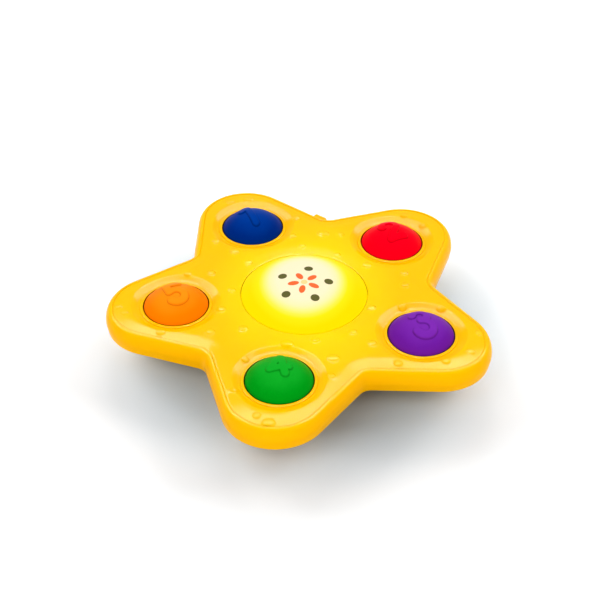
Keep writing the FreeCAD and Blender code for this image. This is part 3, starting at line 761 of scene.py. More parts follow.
def ringPoints(spot, radius, count, offset=0.0):
    turns = (np.arange(count) + offset) * 360 / count
    return np.array(spot) + polar(radius, turns)


def hexGrid(low, high, pitch):
    rows = np.arange(low[1], high[1], pitch * math.sqrt(0.75))
    points = []
    for index, y in enumerate(rows):
        xs = np.arange(low[0] + pitch / 2 * (index % 2), high[0], pitch)
        points.append(np.stack([xs, np.full_like(xs, y)], axis=-1))
    return np.concatenate(points)


# Triangles over scattered points, with loops of points as its edges. Keep tells which stay.
# Points that lie as near together as onePoint count as one.
def coverPoints(loops, loose, keep, onePoint=1e-4):
    points = np.concatenate([*loops, loose])
    edges, first = [], 0
    for loop in loops:
        count = len(loop)
        edges += [(first + i, first + (i + 1) % count) for i in range(count)]
        first += count
    flat = [Vector(p) for p in points.tolist()]
    made, unused, faces, sources = delaunay_2d_cdt(flat, edges, [], 0, onePoint)[:4]
    made = np.array([tuple(p) for p in made])
    where = {s: index for index, group in enumerate(sources) for s in group}
    faces = np.array([f for f in faces if len(f) == 3])
    centres = made[faces].mean(axis=1)
    faces = faces[keep(centres[:, 0], centres[:, 1])]
    used = np.unique(faces)
    renumber = np.full(len(made), -1)
    renumber[used] = np.arange(len(used))
    rims, first = [], 0
    for loop in loops:
        rims.append([int(renumber[where[first + i]]) for i in range(len(loop))])
        first += len(loop)
    return made[used], renumber[faces], rims


# Faces between two rings of point numbers, and from a ring to a point
def bandFaces(first, second):
    count = len(first)
    ahead = [(i + 1) % count for i in range(count)]
    return [(first[i], first[j], second[j], second[i]) for i, j in enumerate(ahead)]


def fanFaces(ring, tip):
    return [(ring[i - 1], ring[i], tip) for i in range(len(ring))]


# Faces with their point numbers moved on
def movedOn(faces, shift):
    return [tuple(shift + k for k in face) for face in faces]


def atHeight(flat, z):
    return np.column_stack([flat, np.full(len(flat), z)])


def everywhere(x, y):
    return np.full(len(x), True)


# Points on the deck's two skins: how many stand round each hole, how far apart the others are,
# and the rings of points near the edges, as distances from them
deckMesh = {
    "dishSteps": 120,
    "lensSteps": 160,
    "pitch": 2.4,
    "underPitch": 7.0,
    "clear": 0.4,
    "edgeGap": 0.05,
    "edgeSlack": 0.015,
    "holeShare": 0.95,
    "byHole": (0.1, 0.22, 0.4, 0.8, 1.2, 1.45, 1.55, 1.65, 1.75, 1.83, 1.9, 2.0, 2.12, 2.26),
    "byLip": (1.2, 2.4, 5),
    "byDish": (-2.4, -1.6, -0.8, -0.3, -0.12, 0.0, 0.12, 0.3, 0.9),
    "byLens": (0.1, 0.22, 0.4, 0.9, 2.2, 4.2, 6.2, 7.7, 8.2, 9.4),
    "byBevel": (0.17, 0.36, 1.2, 2.6, 4.2, 5.8, 6.8, 7.4, 8.0, 8.8),
    "underStep": 0.02,
    "underBevel": 2,
    "underDish": (-0.1, 1),
    "underLens": 7,
}


# One skin of the deck: its flat points, its triangles and the points on its edges
def deckSkin(insets, dishRings, lensRings, pitch, drops):
    m = deckMesh
    dishSteps, lensSteps = m["dishSteps"], m["lensSteps"]
    loops = [outlineAt(bevelFoot)]
    loops += [ringPoints(spot, holeRadius, dishSteps) for spot in buttonSpots]
    loops.append(ringPoints((0, 0), lensHole, lensSteps))
    loose = [outlineAt(inset) for inset in insets]
    for spot in buttonSpots:
        loose += [ringPoints(spot, r, dishSteps, 0.5 * (i % 2)) for i, r in enumerate(dishRings)]
    loose += [ringPoints((0, 0), r, lensSteps, 0.5 * (i % 2)) for i, r in enumerate(lensRings)]
    reach = max(np.abs(outlinePoints).max(axis=0)) + pitch
    grid = hexGrid((-reach, -reach), (reach, reach), pitch)
    x, y = grid.T
    clear = pitch * m["clear"]
    free = (insetAt(x, y) > insets[-1] + clear) & (np.hypot(x, y) > lensRings[-1] + clear)
    for spot in buttonSpots:
        free &= np.hypot(x - spot[0], y - spot[1]) > dishRings[-1] + clear
    steps = dropForm["steps"]
    for spot, across, deep, height in dropSpots if drops else []:
        u = (x - spot[0]) * acrossView[0] + (y - spot[1]) * acrossView[1]
        v = (x - spot[0]) * intoView[0] + (y - spot[1]) * intoView[1]
        free &= np.hypot(u / across, v / deep) > dropForm["clear"]
        loose.append(np.array([spot]))
        for index, share in enumerate(dropForm["rings"]):
            count = steps if share > 0.5 else steps // 2
            ring = ringPoints((0, 0), share, count, 0.5 * (index % 2))
            loose.append(spot + ring[:, :1] * across * acrossView + ring[:, 1:] * deep * intoView)
    loose = np.concatenate([*loose, grid[free]])
    x, y = loose.T
    gap = m["edgeGap"]
    inside = (insetAt(x, y) > bevelFoot + gap) & (np.hypot(x, y) > lensHole + gap)
    for spot in buttonSpots:
        inside &= np.hypot(x - spot[0], y - spot[1]) > holeRadius + gap
    # A point in each hole and each notch, so that no triangle there reaches over an edge
    turns = starForm["firstArm"] + halfPitch * np.arange(1, 2 * arms, 2)
    marks = [polar(starForm["notchRing"], turns), np.array(buttonSpots), [(0, 0)]]

    def keep(cx, cy):
        stays = insetAt(cx, cy) > bevelFoot - m["edgeSlack"]
        stays &= np.hypot(cx, cy) > lensHole * m["holeShare"]
        for spot in buttonSpots:
            stays &= np.hypot(cx - spot[0], cy - spot[1]) > holeRadius * m["holeShare"]
        return stays

    return coverPoints(loops, np.concatenate([loose[inside], *marks]), keep)


# Rows of points on the side wall. Those by the bevel's foot, the shoulder's edge and the wall's
# foot are pairs of a shift inwards and a shift up.
wallForm = {
    "bevelFoot": (-0.12, -0.02),
    "step": ((0.06, 0.0), (0.01, 0.08)),
    "edge": ((-0.02, -0.16), (-0.08, -0.05), (-0.22, -0.01)),
    "shoulderShares": (0.998, 0.99, 0.975, 0.95, 0.91, 0.86, 0.79, 0.70, 0.60, 0.49, 0.42),
    "wallRises": (3.6, 1.9, 0.35),
    "foot": ((0.04, 0.12), (0.14, 0.03), (0.3, 0.0)),
    "innerFoot": ((-0.2, 0.0), (0.0, 0.2)),
    "innerRises": (4.4, 5.5),
}


# The rows as insets and heights from the bevel's foot, over the shoulder, round the foot and up
# inside, with the row above the slot and the first row of the inside
def wallRows():
    f, w = shellForm, wallForm
    width, rise = f["shoulderWidth"], rimZ - widestZ

    def onShoulder(z):
        return width * (1 - math.sqrt(max(0, 1 - ((z - widestZ) / rise) ** 2)))

    def shifted(inset, z, shifts):
        return [(inset + inwards, z + up) for inwards, up in shifts]

    rows = shifted(bevelFoot, stepZ, [w["bevelFoot"]])
    rows += shifted(width, stepZ, w["step"]) + shifted(width, rimZ, w["edge"])
    middleZ = (slotTop + slotBottom) / 2
    for z in [widestZ + rise * share for share in w["shoulderShares"]] + [slotTop, middleZ]:
        rows.append((onShoulder(z), z))
    taper = f["footInset"] / f["widestRise"]
    slotRow = len(rows) - 1
    for z in [slotBottom] + [footZ + up for up in w["wallRises"]]:
        rows.append(((widestZ - z) * taper, z))
    foot = f["footInset"]
    rows += shifted(foot, footZ, w["foot"]) + shifted(foot + f["wall"], footZ, w["innerFoot"])
    back = len(rows)
    for z in (slotBottom, middleZ, slotTop):
        rows.append((f["wall"] + max(0, widestZ - z) * taper + innerCurve(z), z))
    for z in [widestZ + up for up in w["innerRises"]]:
        rows.append((f["wall"] + innerCurve(z), z))
    return rows, slotRow, back


def innerCurve(z):
    share = min(1, max(0, (z - widestZ) / (deckUnderZ - widestZ)))
    return (skinTop - shellForm["wall"]) * (1 - math.sqrt(1 - share * share))


# Rings of screws: the distance from the middle of the star, and whether they stand in the
# notches or in the arms
screwRings = {
    "notch": (68.0, True),
    "tip": (104.0, False),
    "board": (52.0, True),
    "reflector": (43.5, True),
}


# Direction and place of each screw of a ring
def screwSpots(kind):
    ring, inNotch = screwRings[kind]
    spots = []
    for arm in range(arms):
        turn = starForm["firstArm"] + 2 * halfPitch * arm + (halfPitch if inNotch else 0)
        spots.append((turn, polar(ring, turn)))
    return spots


# Posts under the deck: outside radius, bore and lowest level
postForm = {
    "notch": (4.0, 1.5, footZ),
    "tip": (4.0, 1.5, footZ),
    "board": (3.4, 1.2, 19.3),
    "reflector": (2.4, 1.2, 23.7),
}
postSink = 0.6
postSteps = 24
# Painted shade of the deck's edge, of the wall's first row and of the seams round the holes
edgeShades = {"edge": 1, "row": 0.6, "seam": 2, "grooveWidth": 0.25}


def addTopShell(material):
    f, m = shellForm, deckMesh
    lipEnd = holeRadius + f["lipWidth"]
    lipFrom, lipTo, lipCount = m["byLip"]
    dishRings = [holeRadius + d for d in m["byHole"]]
    dishRings += list(np.linspace(lipEnd + lipFrom, lipEnd + lipTo, lipCount))
    dishRings += [f["dishRadius"] + d for d in m["byDish"]]
    lensRings = [lensHole + d for d in m["byLens"]]
    insets = [bevelFoot + d for d in m["byBevel"]]
    top, topFaces, topRims = deckSkin(insets, dishRings, lensRings, m["pitch"], True)
    step = m["underStep"]
    collar = holeRadius + f["collarWall"]
    ledge = lensHole + f["lensLedge"]
    low, lowFaces, lowRims = deckSkin(
        [skinTop, skinTop + m["underBevel"]],
        [collar - step, collar + step] + [f["dishRadius"] + d for d in m["underDish"]],
        [ledge - step, ledge + step, lensHole + m["underLens"]],
        m["underPitch"],
        False,
    )
    points = [np.column_stack([top, deckHeight(*top.T)])]
    points.append(np.column_stack([low, underHeight(*low.T)]))
    shift = len(top)
    faces = [tuple(t) for t in topFaces] + movedOn(lowFaces, shift)
    topRims = [np.array(r) for r in topRims]
    lowRims = [np.array(r) + shift for r in lowRims]

    rows, slotRow, back = wallRows()
    columns = len(outlinePoints)
    first = shift + len(low)
    rings = [topRims[0]]
    for index, (inset, z) in enumerate(rows):
        points.append(atHeight(outlineAt(inset), z))
        rings.append(first + index * columns + np.arange(columns))
    rings.append(lowRims[0])
    slotEnd = slotColumn + slotForm["steps"]
    for row, (upper, lower) in enumerate(zip(rings, rings[1:])):
        band = bandFaces(upper, lower)
        if row in (slotRow, slotRow + 1, back + 1, back + 2):
            band = band[:slotColumn] + band[slotEnd:]
        faces += band
    outer = [rings[slotRow + k] for k in range(3)]
    inner = [rings[back + 3 - k] for k in range(3)]
    for i in range(slotColumn, slotEnd):
        for k in (0, 2):
            faces.append((outer[k][i], outer[k][i + 1], inner[k][i + 1], inner[k][i]))
    for i in (slotColumn, slotEnd):
        for k in (0, 1):
            faces.append((outer[k][i], outer[k + 1][i], inner[k + 1][i], inner[k][i]))
    points = list(np.concatenate(points))
    seams = []
    for upper, lower in zip(topRims[1:], lowRims[1:]):
        seam = list(range(len(points), len(points) + len(upper)))
        points += [points[k] - (0, 0, f["seamDepth"]) for k in upper]
        faces += bandFaces(upper, seam) + bandFaces(seam, lower)
        seams += seam
    for kind, (outside, bore, lowZ) in postForm.items():
        for turn, spot in screwSpots(kind):
            high = float(underHeight(*spot)) + postSink
            section = [(outside, lowZ), (outside, high), (bore, high), (bore, lowZ)]
            more, moreFaces = turnedMesh(section, spot, postSteps, True)
            faces += movedOn(moreFaces, len(points))
            points += more
    points = np.array(points)
    # Painted shade: the points along the bevel's foot, the wall's first row and the groove round each dish
    # carry crease shade, and those in the gaps round the holes carry seam shade
    shade = np.zeros(len(points))
    shade[topRims[0]] = edgeShades["edge"]
    shade[first : first + columns] = edgeShades["row"]
    for spot in buttonSpots:
        away = np.hypot(*(points[:shift, :2] - spot).T) - lipEnd - f["lipRise"]
        groove = np.clip(1 - np.abs(away) / edgeShades["grooveWidth"], 0, 1)
        shade[:shift] = np.maximum(shade[:shift], groove)
    for rim in [seams, *lowRims[1:]]:
        shade[rim] = edgeShades["seam"]
    points = points + (*middle, 0)
    name = "top_shell_moulding"
    return addPiece(name, points, faces, material, "housing", 40, ["top_shell"], shade)


# A solid of revolution from a path of (radius, height) steps, closed on the axis or on itself
def turnedMesh(path, spot, steps, closed=False, onAxis=1e-6):
    points, faces, rings = [], [], []
    for radius, z in path:
        if radius < onAxis:
            rings.append([len(points)] * steps)
            points.append((*spot, z))
        else:
            rings.append(list(range(len(points), len(points) + steps)))
            points += [(x, y, z) for x, y in ringPoints(spot, radius, steps)]
    pairs = list(zip(rings, rings[1:]))
    if closed:
        pairs.append((rings[-1], rings[0]))
    for first, second in pairs:
        band = [list(dict.fromkeys(face)) for face in bandFaces(first, second)]
        faces += [face for face in band if len(face) > 2]
    return points, faces


def capHeight(radius, rise, reach):
    ball = (radius**2 + rise**2) / (2 * rise)
    return np.sqrt(ball**2 - np.minimum(reach, radius) ** 2) - (ball - rise)


# Points along an arc, for the strokes of a numeral
def bend(x, y, radius, start, end, steps=14):
    return [tuple(np.array([x, y]) + polar(radius, t)) for t in np.linspace(start, end, steps)]


# Strokes of the numerals in millimetres from the dome's top, and how each is turned
numeralForm = {
    "halfWidth": 2.25,
    "soft": 0.22,
    "rise": 0.95,
    # footShade and footWidth give the painted shade along the foot of the strokes
    "footShade": 0.7,
    "footWidth": 0.34,
    "pitches": (0.26, 0.6, 1.5),
    "bands": (0.55, 1.5, 99),
    "bandGap": 0.12,
    "button_1": (0, [[(-4.6, 7.4), (0.3, 10.9), (-0.9, -7.9)]]),
    "button_2": (0, [bend(0.4, 5.4, 5.0, 190, -28) + [(-4.4, -6.9), (5.0, -6.9)]]),
    "button_3": (
        -10,
        [
            bend(0.2, 5.2, 4.3, 165, -80) + [(-0.6, 0.6)],
            bend(-0.2, -4.9, 5.2, 75, -165),
        ],
    ),
    "button_4": (-16, [[(5.2, -0.2), (-5.2, -0.2), (2.4, 10.8), (2.5, -4.9)]]),
    "button_5": (
        0,
        [[(5.0, 9.0), (-2.9, 9.0), (-3.2, 1.2)] + bend(-0.2, -2.9, 4.9, 110, -150)],
    ),
}


# Distance from points to the strokes of a numeral
def strokeDistance(points, strokes):
    nearest = np.full(len(points), 1e9)
    for stroke in strokes:
        for a, b in zip(stroke, stroke[1:]):
            a, b = np.array(a), np.array(b)
            along = b - a
            share = np.clip((points - a) @ along / (along @ along), 0, 1)
            nearest = np.minimum(nearest, np.hypot(*(points - a - share[:, None] * along).T))
    return nearest


# Dome of a push button, with its stop flange and the plunger over the rubber key
buttonForm = {
    "steps": 96,
    "gridHalf": 16,
    "edgeRings": (0.12, 0.35, 0.8, 1.5),
    "plainEdge": 2.2,
    "edge": (0.35, 3.0, 0.4),
    "wall": 1.8,
    "play": 0.1,
    "flange": (1.9, 1.3),
    "innerShares": (0.8, 0.5),
    "plunger": 4.2,
}


def addButton(node, material):
    f, n = buttonForm, numeralForm
    steps, wall, play, plunger = (f[k] for k in ("steps", "wall", "play", "plunger"))
    domeRise = nodeBox(node)[1][2] - buttonRimZ
    turn, strokes = n[node]
    spin = polar(1, -turn)

    def strokesAway(points):
        x, y = points.T
        local = np.stack([x * spin[0] - y * spin[1], x * spin[1] + y * spin[0]], axis=-1)
        return strokeDistance(local, strokes)

    corner = np.array([f["gridHalf"], f["gridHalf"]])
    loose, nearest = [], -1
    for pitch, farthest in zip(n["pitches"], n["bands"]):
        grid = hexGrid(-corner, corner, pitch)
        edge = np.abs(strokesAway(grid) - n["halfWidth"])
        near = (edge > nearest) & (edge <= farthest)
        loose.append(grid[near & (np.hypot(*grid.T) < domeRadius - f["plainEdge"])])
        nearest = farthest + n["bandGap"]
    rings = []
    for index, inset in enumerate(f["edgeRings"]):
        rings.append(ringPoints((0, 0), domeRadius - inset, steps, 0.5 * (index % 2)))
    loops = [ringPoints((0, 0), domeRadius, steps)]
    flat, faces, rims = coverPoints(loops, np.concatenate(rings + loose), everywhere)
    reach, away = np.hypot(*flat.T), strokesAway(flat)
    share = np.clip((n["halfWidth"] + n["soft"] - away) / (2 * n["soft"]), 0, 1)
    relief = n["rise"] * share * share * (3 - 2 * share)
    z = buttonRimZ + capHeight(domeRadius, domeRise, reach) + relief
    drop, slope, rounding = f["edge"]
    z = softLower(z, buttonRimZ - drop + slope * (domeRadius - reach), rounding)
    points = np.column_stack([flat, z])
    # Painted shade along the foot of the strokes
    away = away - n["halfWidth"]
    foot = n["footShade"] * np.clip(1 - np.abs(away - n["soft"]) / n["footWidth"], 0, 1)
    inside = domeRadius - wall
    flangeWidth, flangeWall = f["flange"]
    flangeTop = collarZ - play
    flangeFoot = flangeTop - flangeWall
    plungerFoot = nodeBox(node.replace("button", "rubber_key"))[1][2] + play
    path = [(domeRadius, flangeTop), (domeRadius + flangeWidth, flangeTop)]
    path += [(domeRadius + flangeWidth, flangeFoot), (inside, flangeFoot), (inside, buttonRimZ)]
    for reach in [inside * share for share in f["innerShares"]] + [plunger]:
        path.append((reach, buttonRimZ + capHeight(inside, domeRise - wall, reach)))
    path += [(plunger, plungerFoot), (0, plungerFoot)]
    more, moreFaces = turnedMesh(path, (0, 0), steps)
    first = len(points)
    faces = [tuple(t) for t in faces] + movedOn(moreFaces, first)
    faces += bandFaces(rims[0], range(first, first + steps))
    points = np.concatenate([points, more]) + (*(middle + nodeSpot(node)), 0)
    shade = np.concatenate([foot, np.zeros(len(more))])
    return addPiece(node + "_dome", points, faces, material, node, 80, [node], shade)


# Milky dome of the lens, with a flange under the deck
lensForm = {
    "steps": 144,
    "wall": 1.8,
    "play": 0.1,
    "crownSteps": (1.5, 1, 24),
    "edgeInsets": (0.5, 0.2),
    "edge": ((0.05, 0.05), (0, 0.3)),
    "flange": (2.4, 1.5),
    "innerSteps": 12,
}


def addLens(material):
    f = lensForm
    rise = lensHigh[2] - lensRimZ
    inside = lensRadius - f["wall"]
    flangeTop = lensRimZ - shellForm["wall"] - f["play"]
    flangeWidth, flangeWall = f["flange"]
    flangeFoot = flangeTop - flangeWall
    first, last, count = f["crownSteps"]
    crown = list(np.linspace(first, lensRadius - last, count))
    path = [(0, lensHigh[2])]
    for reach in crown + [lensRadius - inset for inset in f["edgeInsets"]]:
        path.append((reach, lensRimZ + float(capHeight(lensRadius, rise, reach))))
    path += [(lensRadius - inset, lensRimZ - drop) for inset, drop in f["edge"]]
    path += [(lensRadius, flangeTop), (lensRadius + flangeWidth, flangeTop)]
    path += [(lensRadius + flangeWidth, flangeFoot), (inside, flangeFoot)]
    for reach in np.linspace(inside, 0, f["innerSteps"]):
        path.append((reach, lensRimZ + float(capHeight(inside, rise - f["wall"], reach))))
    points, faces = turnedMesh(path, tuple(middle), f["steps"])
    return addPiece("lens_dome", points, faces, material, "housing", 40, ["lens"])


# Generic design on the lens: flat shapes in rings round the middle, each
# with its colour, its count, its distance from the middle, its half length and half width
printForm = {
    "thickness": 0.12,
    "buried": 0.4,
    "steps": 36,
    "rings": (1.0, 0.66, 0.33),
    "sockets": {"Roughness": 0.35, "SpecularIORLevel": 0.02},
    "clouds": (90, 3.0, 0.3, 0.7),
    "cloudShade": 1.15,
    "dots": ((0.105, 0.10, 0.028), 5, 15.0, 2.7, 2.7),
    "petals": ((0.85, 0.13, 0.035), 5, 6.6, 3.4, 1.9),
    "heart_disc": ((1.0, 0.60, 0.24), 1, 0.0, 2.0, 2.0),
}


def addPrint():
    f = printForm
    steps = f["steps"]
    rise = lensHigh[2] - lensRimZ
    edge = ringPoints((0, 0), 1.0, steps)
    disc = np.concatenate([share * edge for share in f["rings"]] + [[(0, 0)]])
    rings = [range(k * steps, (k + 1) * steps) for k in range(len(f["rings"]))]
    tip = len(disc) - 1
    foot = range(tip + 1, tip + 1 + steps)
    shapeFaces = fanFaces(rings[-1], tip) + bandFaces(rings[0], foot) + fanFaces(foot, foot[-1] + 1)
    for first, second in zip(rings, rings[1:]):
        shapeFaces += bandFaces(first, second)
    for kind in ("dots", "petals", "heart_disc"):
        color, count, ring, long, wide = f[kind]
        material = newMaterial("print_" + kind, color, **f["sockets"])
        pale = scaled(color, f["cloudShade"])
        paint(material, mixOf(material, cloudOf(material, *f["clouds"]), color, pale))
        points, faces = [], []
        for index in range(count):
            turn = starForm["firstArm"] + index * 360 / count + (halfPitch if kind == "dots" else 0)
            out, side = polar(1, turn), polar(1, turn + 90)
            flat = ring * out + disc[:, :1] * long * out + disc[:, 1:] * wide * side
            top = lensRimZ + capHeight(lensRadius, rise, np.hypot(*flat.T)) + f["thickness"]
            faces += movedOn(shapeFaces, len(points))
            points += np.column_stack([flat + middle, top]).tolist()
            low = top[:steps] - f["buried"]
            points += np.column_stack([flat[:steps] + middle, low]).tolist()
            points.append((*(ring * out + middle), float(top.min() - f["buried"])))
        addPiece("lens_print_" + kind, points, faces, material, "housing", 30)


# Several meshes of (points, faces) as one, and which of them each face came from
def mergedMeshes(meshes):
    points, faces, source = [], [], []
    for index, (more, moreFaces) in enumerate(meshes):
        faces += movedOn(moreFaces, len(points))
        source += [index] * len(moreFaces)
        points += [tuple(p) for p in more]
    return points, faces, source


# A mesh drawn on axes of its own, carried to its place
def carried(mesh, first, second, third, spot):
    points, faces = mesh
    return np.asarray(points) @ np.array([first, second, third], float) + spot, faces


# Loop of a rectangle with round corners
def cornerLoop(halfX, halfY, radius, steps=6):
    loop = []
    for turn, signX, signY in ((0, 1, 1), (90, -1, 1), (180, -1, -1), (270, 1, -1)):
        centre = np.array([signX * (halfX - radius), signY * (halfY - radius)])
        loop += [centre + polar(radius, t) for t in np.linspace(turn, turn + 90, steps)]
    return np.array(loop)


# A solid between loops of equal counts, each given as flat points and a height
def stackedMesh(loops):
    count = len(loops[0][0])
    points = np.concatenate([atHeight(flat, z) for flat, z in loops])
    return points, stackedFaces(len(points), count)


def stackedFaces(total, count):
    rings = [range(first, first + count) for first in range(0, total, count)]
    faces = [tuple(rings[0]), tuple(rings[-1])]
    for first, second in zip(rings, rings[1:]):
        faces += bandFaces(first, second)
    return faces


# A block with round corners and softened edges, round its own middle. The edge's steps are
# shares of its size inwards and up.
blockForm = {"edgeSteps": ((1, 0), (0.3, 0.3), (0, 1)), "cornerShare": 0.9}


def blockMesh(halfX, halfY, low, high, corner, edge):
    loops = []
    for inwards, up in blockForm["edgeSteps"]:
        inset = inwards * edge
        radius = corner - blockForm["cornerShare"] * inset
        loops.append((cornerLoop(halfX - inset, halfY - inset, radius), low + up * edge))
    loops += [(flat, low + high - z) for flat, z in loops[::-1]]
    return stackedMesh(loops)


# Knob of the slide switch: a ribbed grip, its stem through the wall and the shutter inside.
# Distances outward count from the widest outline.
knobForm = {
    "place": 3.1,
    "gap": 0.35,
    "grip": (4.5, 3.0, 4.4),
    "corner": 1.0,
    "edge": 0.55,
    "ribs": 5,
    "ribPitch": 1.35,
    "rib": (0.34, 2.1, 4.85),
    "ribSink": 0.4,
    "ribEdge": (0.33, 0.3),
    "stem": (1.6, 1.2),
    "stemEdge": (0.3, 0.15),
    "shutter": (10.5, 2.1, 1.0),
    "shutterEdge": (0.4, 0.15),
    "shutterFace": 3.3,
}


def addKnob(material):
    f = knobForm
    low, high = nodeBox("slider_knob")
    facing = starForm["firstArm"] + 2 * halfPitch - flankTurn
    notch = polar(starForm["notchRing"], starForm["firstArm"] + halfPitch)
    foot = notch - polar(starForm["notchRadius"], facing) + polar(f["place"], facing + 90) + middle
    halfX, halfZ, face = f["grip"]
    ribX, ribZ, ribFace = f["rib"]
    shutterX, shutterZ, shutterWall = f["shutter"]
    back = -f["shutterFace"] - shutterWall
    grip = blockMesh(halfX, halfZ, f["gap"], face, f["corner"], f["edge"])
    blocks = [grip, blockMesh(*f["stem"], back, face / 2, *f["stemEdge"])]
    blocks.append(blockMesh(shutterX, shutterZ, back, -f["shutterFace"], *f["shutterEdge"]))
    rib, ribFaces = blockMesh(ribX, ribZ, face - f["ribSink"], ribFace, *f["ribEdge"])
    for index in range(f["ribs"]):
        shift = (index - (f["ribs"] - 1) / 2) * f["ribPitch"]
        blocks.append((rib + (shift, 0, 0), ribFaces))
    points, faces, source = mergedMeshes(blocks)
    along, outward = (*polar(1, facing + 90), 0), (*polar(1, facing), 0)
    spot = (*foot, (low[2] + high[2]) / 2)
    points, faces = carried((points, faces), along, (0, 0, 1), outward, spot)
    name, replaced = "slider_knob_ribbed", ["slider_knob"]
    return addPiece(name, points, faces, material, "slider", 35, replaced)


# Suction cup: hollow below with fine rings, a thin lip, a neck through the shell's floor and a head
cupForm = {
    "steps": 96,
    "hollowSteps": 56,
    "edge": ((0.3, 0.0), (0.06, 0.14), (0.0, 0.42), (0.1, 0.72)),
    "rimInset": 0.36,
    "wallSteps": 20,
    "beadSpot": (1.6, 0.8),
    "neckEdge": ((0.25, 0.1), (0.6, 0.0)),
    "stemFillet": 0.3,
    "headEdge": ((0.2, 0.0), (0.0, 0.2), (0.15, 0.6)),
    "headTop": ((0.56, 0.5), (0.48, 0.12), (0.4, 0.0), (0.0, 0.0)),
    "lip": 0.9,
    "hollow": 3.4,
    "rings": (5.0, 9.0, 12.6),
    "ringHeight": 0.22,
    "ringWidth": 0.55,
    "neck": (7.5, 6.6),
    "shoulder": (12.96, 3.5),
    "stemRadius": 3.4,
    "headRadius": 5.2,
    "headHeight": 3.6,
    "seat": 7.0,
    "bead": 0.25,
}


def addSuctionCup(node, material):
    f = cupForm
    low, high = nodeBox(node)
    radius = (high[0] - low[0]) / 2
    top, lip = high[2], f["lip"]
    cavity = radius - lip
    path = []
    for reach in np.linspace(0, cavity, f["hollowSteps"]):
        ridge = sum(max(0, 1 - ((reach - r) / f["ringWidth"]) ** 2) for r in f["rings"])
        lift = float(capHeight(cavity, f["hollow"], reach))
        path.append((reach, max(0, lift - ridge * f["ringHeight"])))
    path += [(radius - inset, z) for inset, z in f["edge"]]
    rim, (shoulder, shoulderZ), (neck, neckZ) = radius - f["rimInset"], f["shoulder"], f["neck"]
    v = (shoulder - rim) / (neck - rim)
    sag = (shoulderZ - lip - (neckZ - lip) * v) / (v * (v - 1))
    beadInset, beadHalf = f["beadSpot"]
    for reach in np.linspace(rim, neck, f["wallSteps"]):
        u = (reach - rim) / (neck - rim)
        bead = f["bead"] * max(0, 1 - ((reach - rim + beadInset) / beadHalf) ** 2)
        path.append((reach, lip + (neckZ - lip) * u + sag * u * (u - 1) + bead))
    stem, head, seat, fillet = f["stemRadius"], f["headRadius"], f["seat"], f["stemFillet"]
    under = top - f["headHeight"]
    path += [(neck - inset, seat - drop) for inset, drop in f["neckEdge"]]
    path += [(stem + fillet, seat), (stem, seat + fillet), (stem, under)]
    path += [(head - inset, under + rise) for inset, rise in f["headEdge"]]
    path += [(head * share, top - drop) for share, drop in f["headTop"]]
    points, faces = turnedMesh(path, tuple(nodeSpot(node) + middle), f["steps"])
    return addPiece(node + "_vinyl", points, faces, material, "housing", 42, [node])


# Hollow rubber key on the board, with a carbon pill inside.
keyForm = {
    "foot": (1.7, 0.8),
    "footEdge": 0.2,
    "dimple": (1.5, 0.25),
    "dimpleEdge": 0.4,
    "head": (3.1, 1.1),
    "headEdge": ((0.35, 0.0), (0.08, 0.1), (0.0, 0.4)),
    "wall": 0.9,
    "wallShares": (0.25, 0.5, 0.75, 1.0),
    "pill": (1.75, 0.6),
    "pillEdge": 0.15,
    "pillBands": 3,
    "bulge": 0.45,
    "play": 0.1,
    "travel": 2.5,
    "spare": 0.05,
    "steps": 48,
}


# Steps of a rubber wall from one point of the outline to another, bulged outwards
def bulgedWall(start, end):
    steps = []
    for share in keyForm["wallShares"]:
        swell = keyForm["bulge"] * math.sin(math.pi * share)
        reach = start[0] + (end[0] - start[0]) * share + swell
        steps.append((reach, start[1] + (end[1] - start[1]) * share))
    return steps


def addRubberKey(index, materials):
    f = keyForm
    node = f"rubber_key_{index}"
    low, high = nodeBox(node)
    base, top = low[2], high[2]
    radius = (high[0] - low[0]) / 2
    footWidth, footHeight = f["foot"]
    dimple, dimpleDepth = f["dimple"]
    head, headHeight = f["head"]
    pill, pillHeight = f["pill"]
    footTop, footEdge = base + footHeight, f["footEdge"]
    roof = top - 2 * f["wall"]
    pillFoot, pillEdge = roof - pillHeight, f["pillEdge"]
    waist = (head, top - headHeight)
    hip = (radius - footWidth + f["wall"], footTop)
    innerFoot = (radius - footWidth, base)
    path = [(0, top - dimpleDepth), (dimple - f["dimpleEdge"], top - dimpleDepth), (dimple, top)]
    path += [(head - inset, top - drop) for inset, drop in f["headEdge"]]
    path += [waist] + bulgedWall(waist, hip)
    path += [(radius - footEdge, footTop), (radius, footTop - footEdge), (radius, base)]
    path += [innerFoot] + bulgedWall(innerFoot, (head - f["wall"], roof))
    path += [(pill, roof), (pill, pillFoot + pillEdge), (pill - pillEdge, pillFoot), (0, pillFoot)]
    spot = nodeSpot(node) + middle
    points, faces = turnedMesh(path, tuple(spot), f["steps"])
    pillFaces = f["pillBands"] * f["steps"]
    finish = [0] * (len(faces) - pillFaces) + [1] * pillFaces
    key = addPiece(
        node + "_domed", points, faces, materials, "housing", 40, [node], finish=finish
    )
    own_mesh(key)
    return key


# Screws that point up. The outer face of the head has a cross recess, and the shank a thread.
# Each kind of screw has its rings, the head's radius and height, and the shank's radius.
screwForm = {
    "steps": 24,
    "threadPitch": 1.0,
    "threadDepth": 0.2,
    "threadSteps": 5,
    "threadGaps": (0.4, 1.2),
    "face": 0.8,
    "faceSteps": 17,
    "faceShare": 0.97,
    "recessWidth": 0.15,
    "recessReach": 0.62,
    "recessDepth": 0.6,
    "recessSlope": (0.12, 0.3),
    "headEdge": ((0.92, 0.1), (1, 0.4), (1, 1)),
    "tip": ((0.7, 0.6), (0.25, 0)),
    "housing_screws": (("notch", "tip"), 2.8, 2.2, 1.5),
    "board_screws": (("board",), 2.4, 1.4, 1.2),
    "reflector_screws": (("reflector",), 1.92, 0.7, 1.2),
    "door_screw": (1.2, 1.4),
}


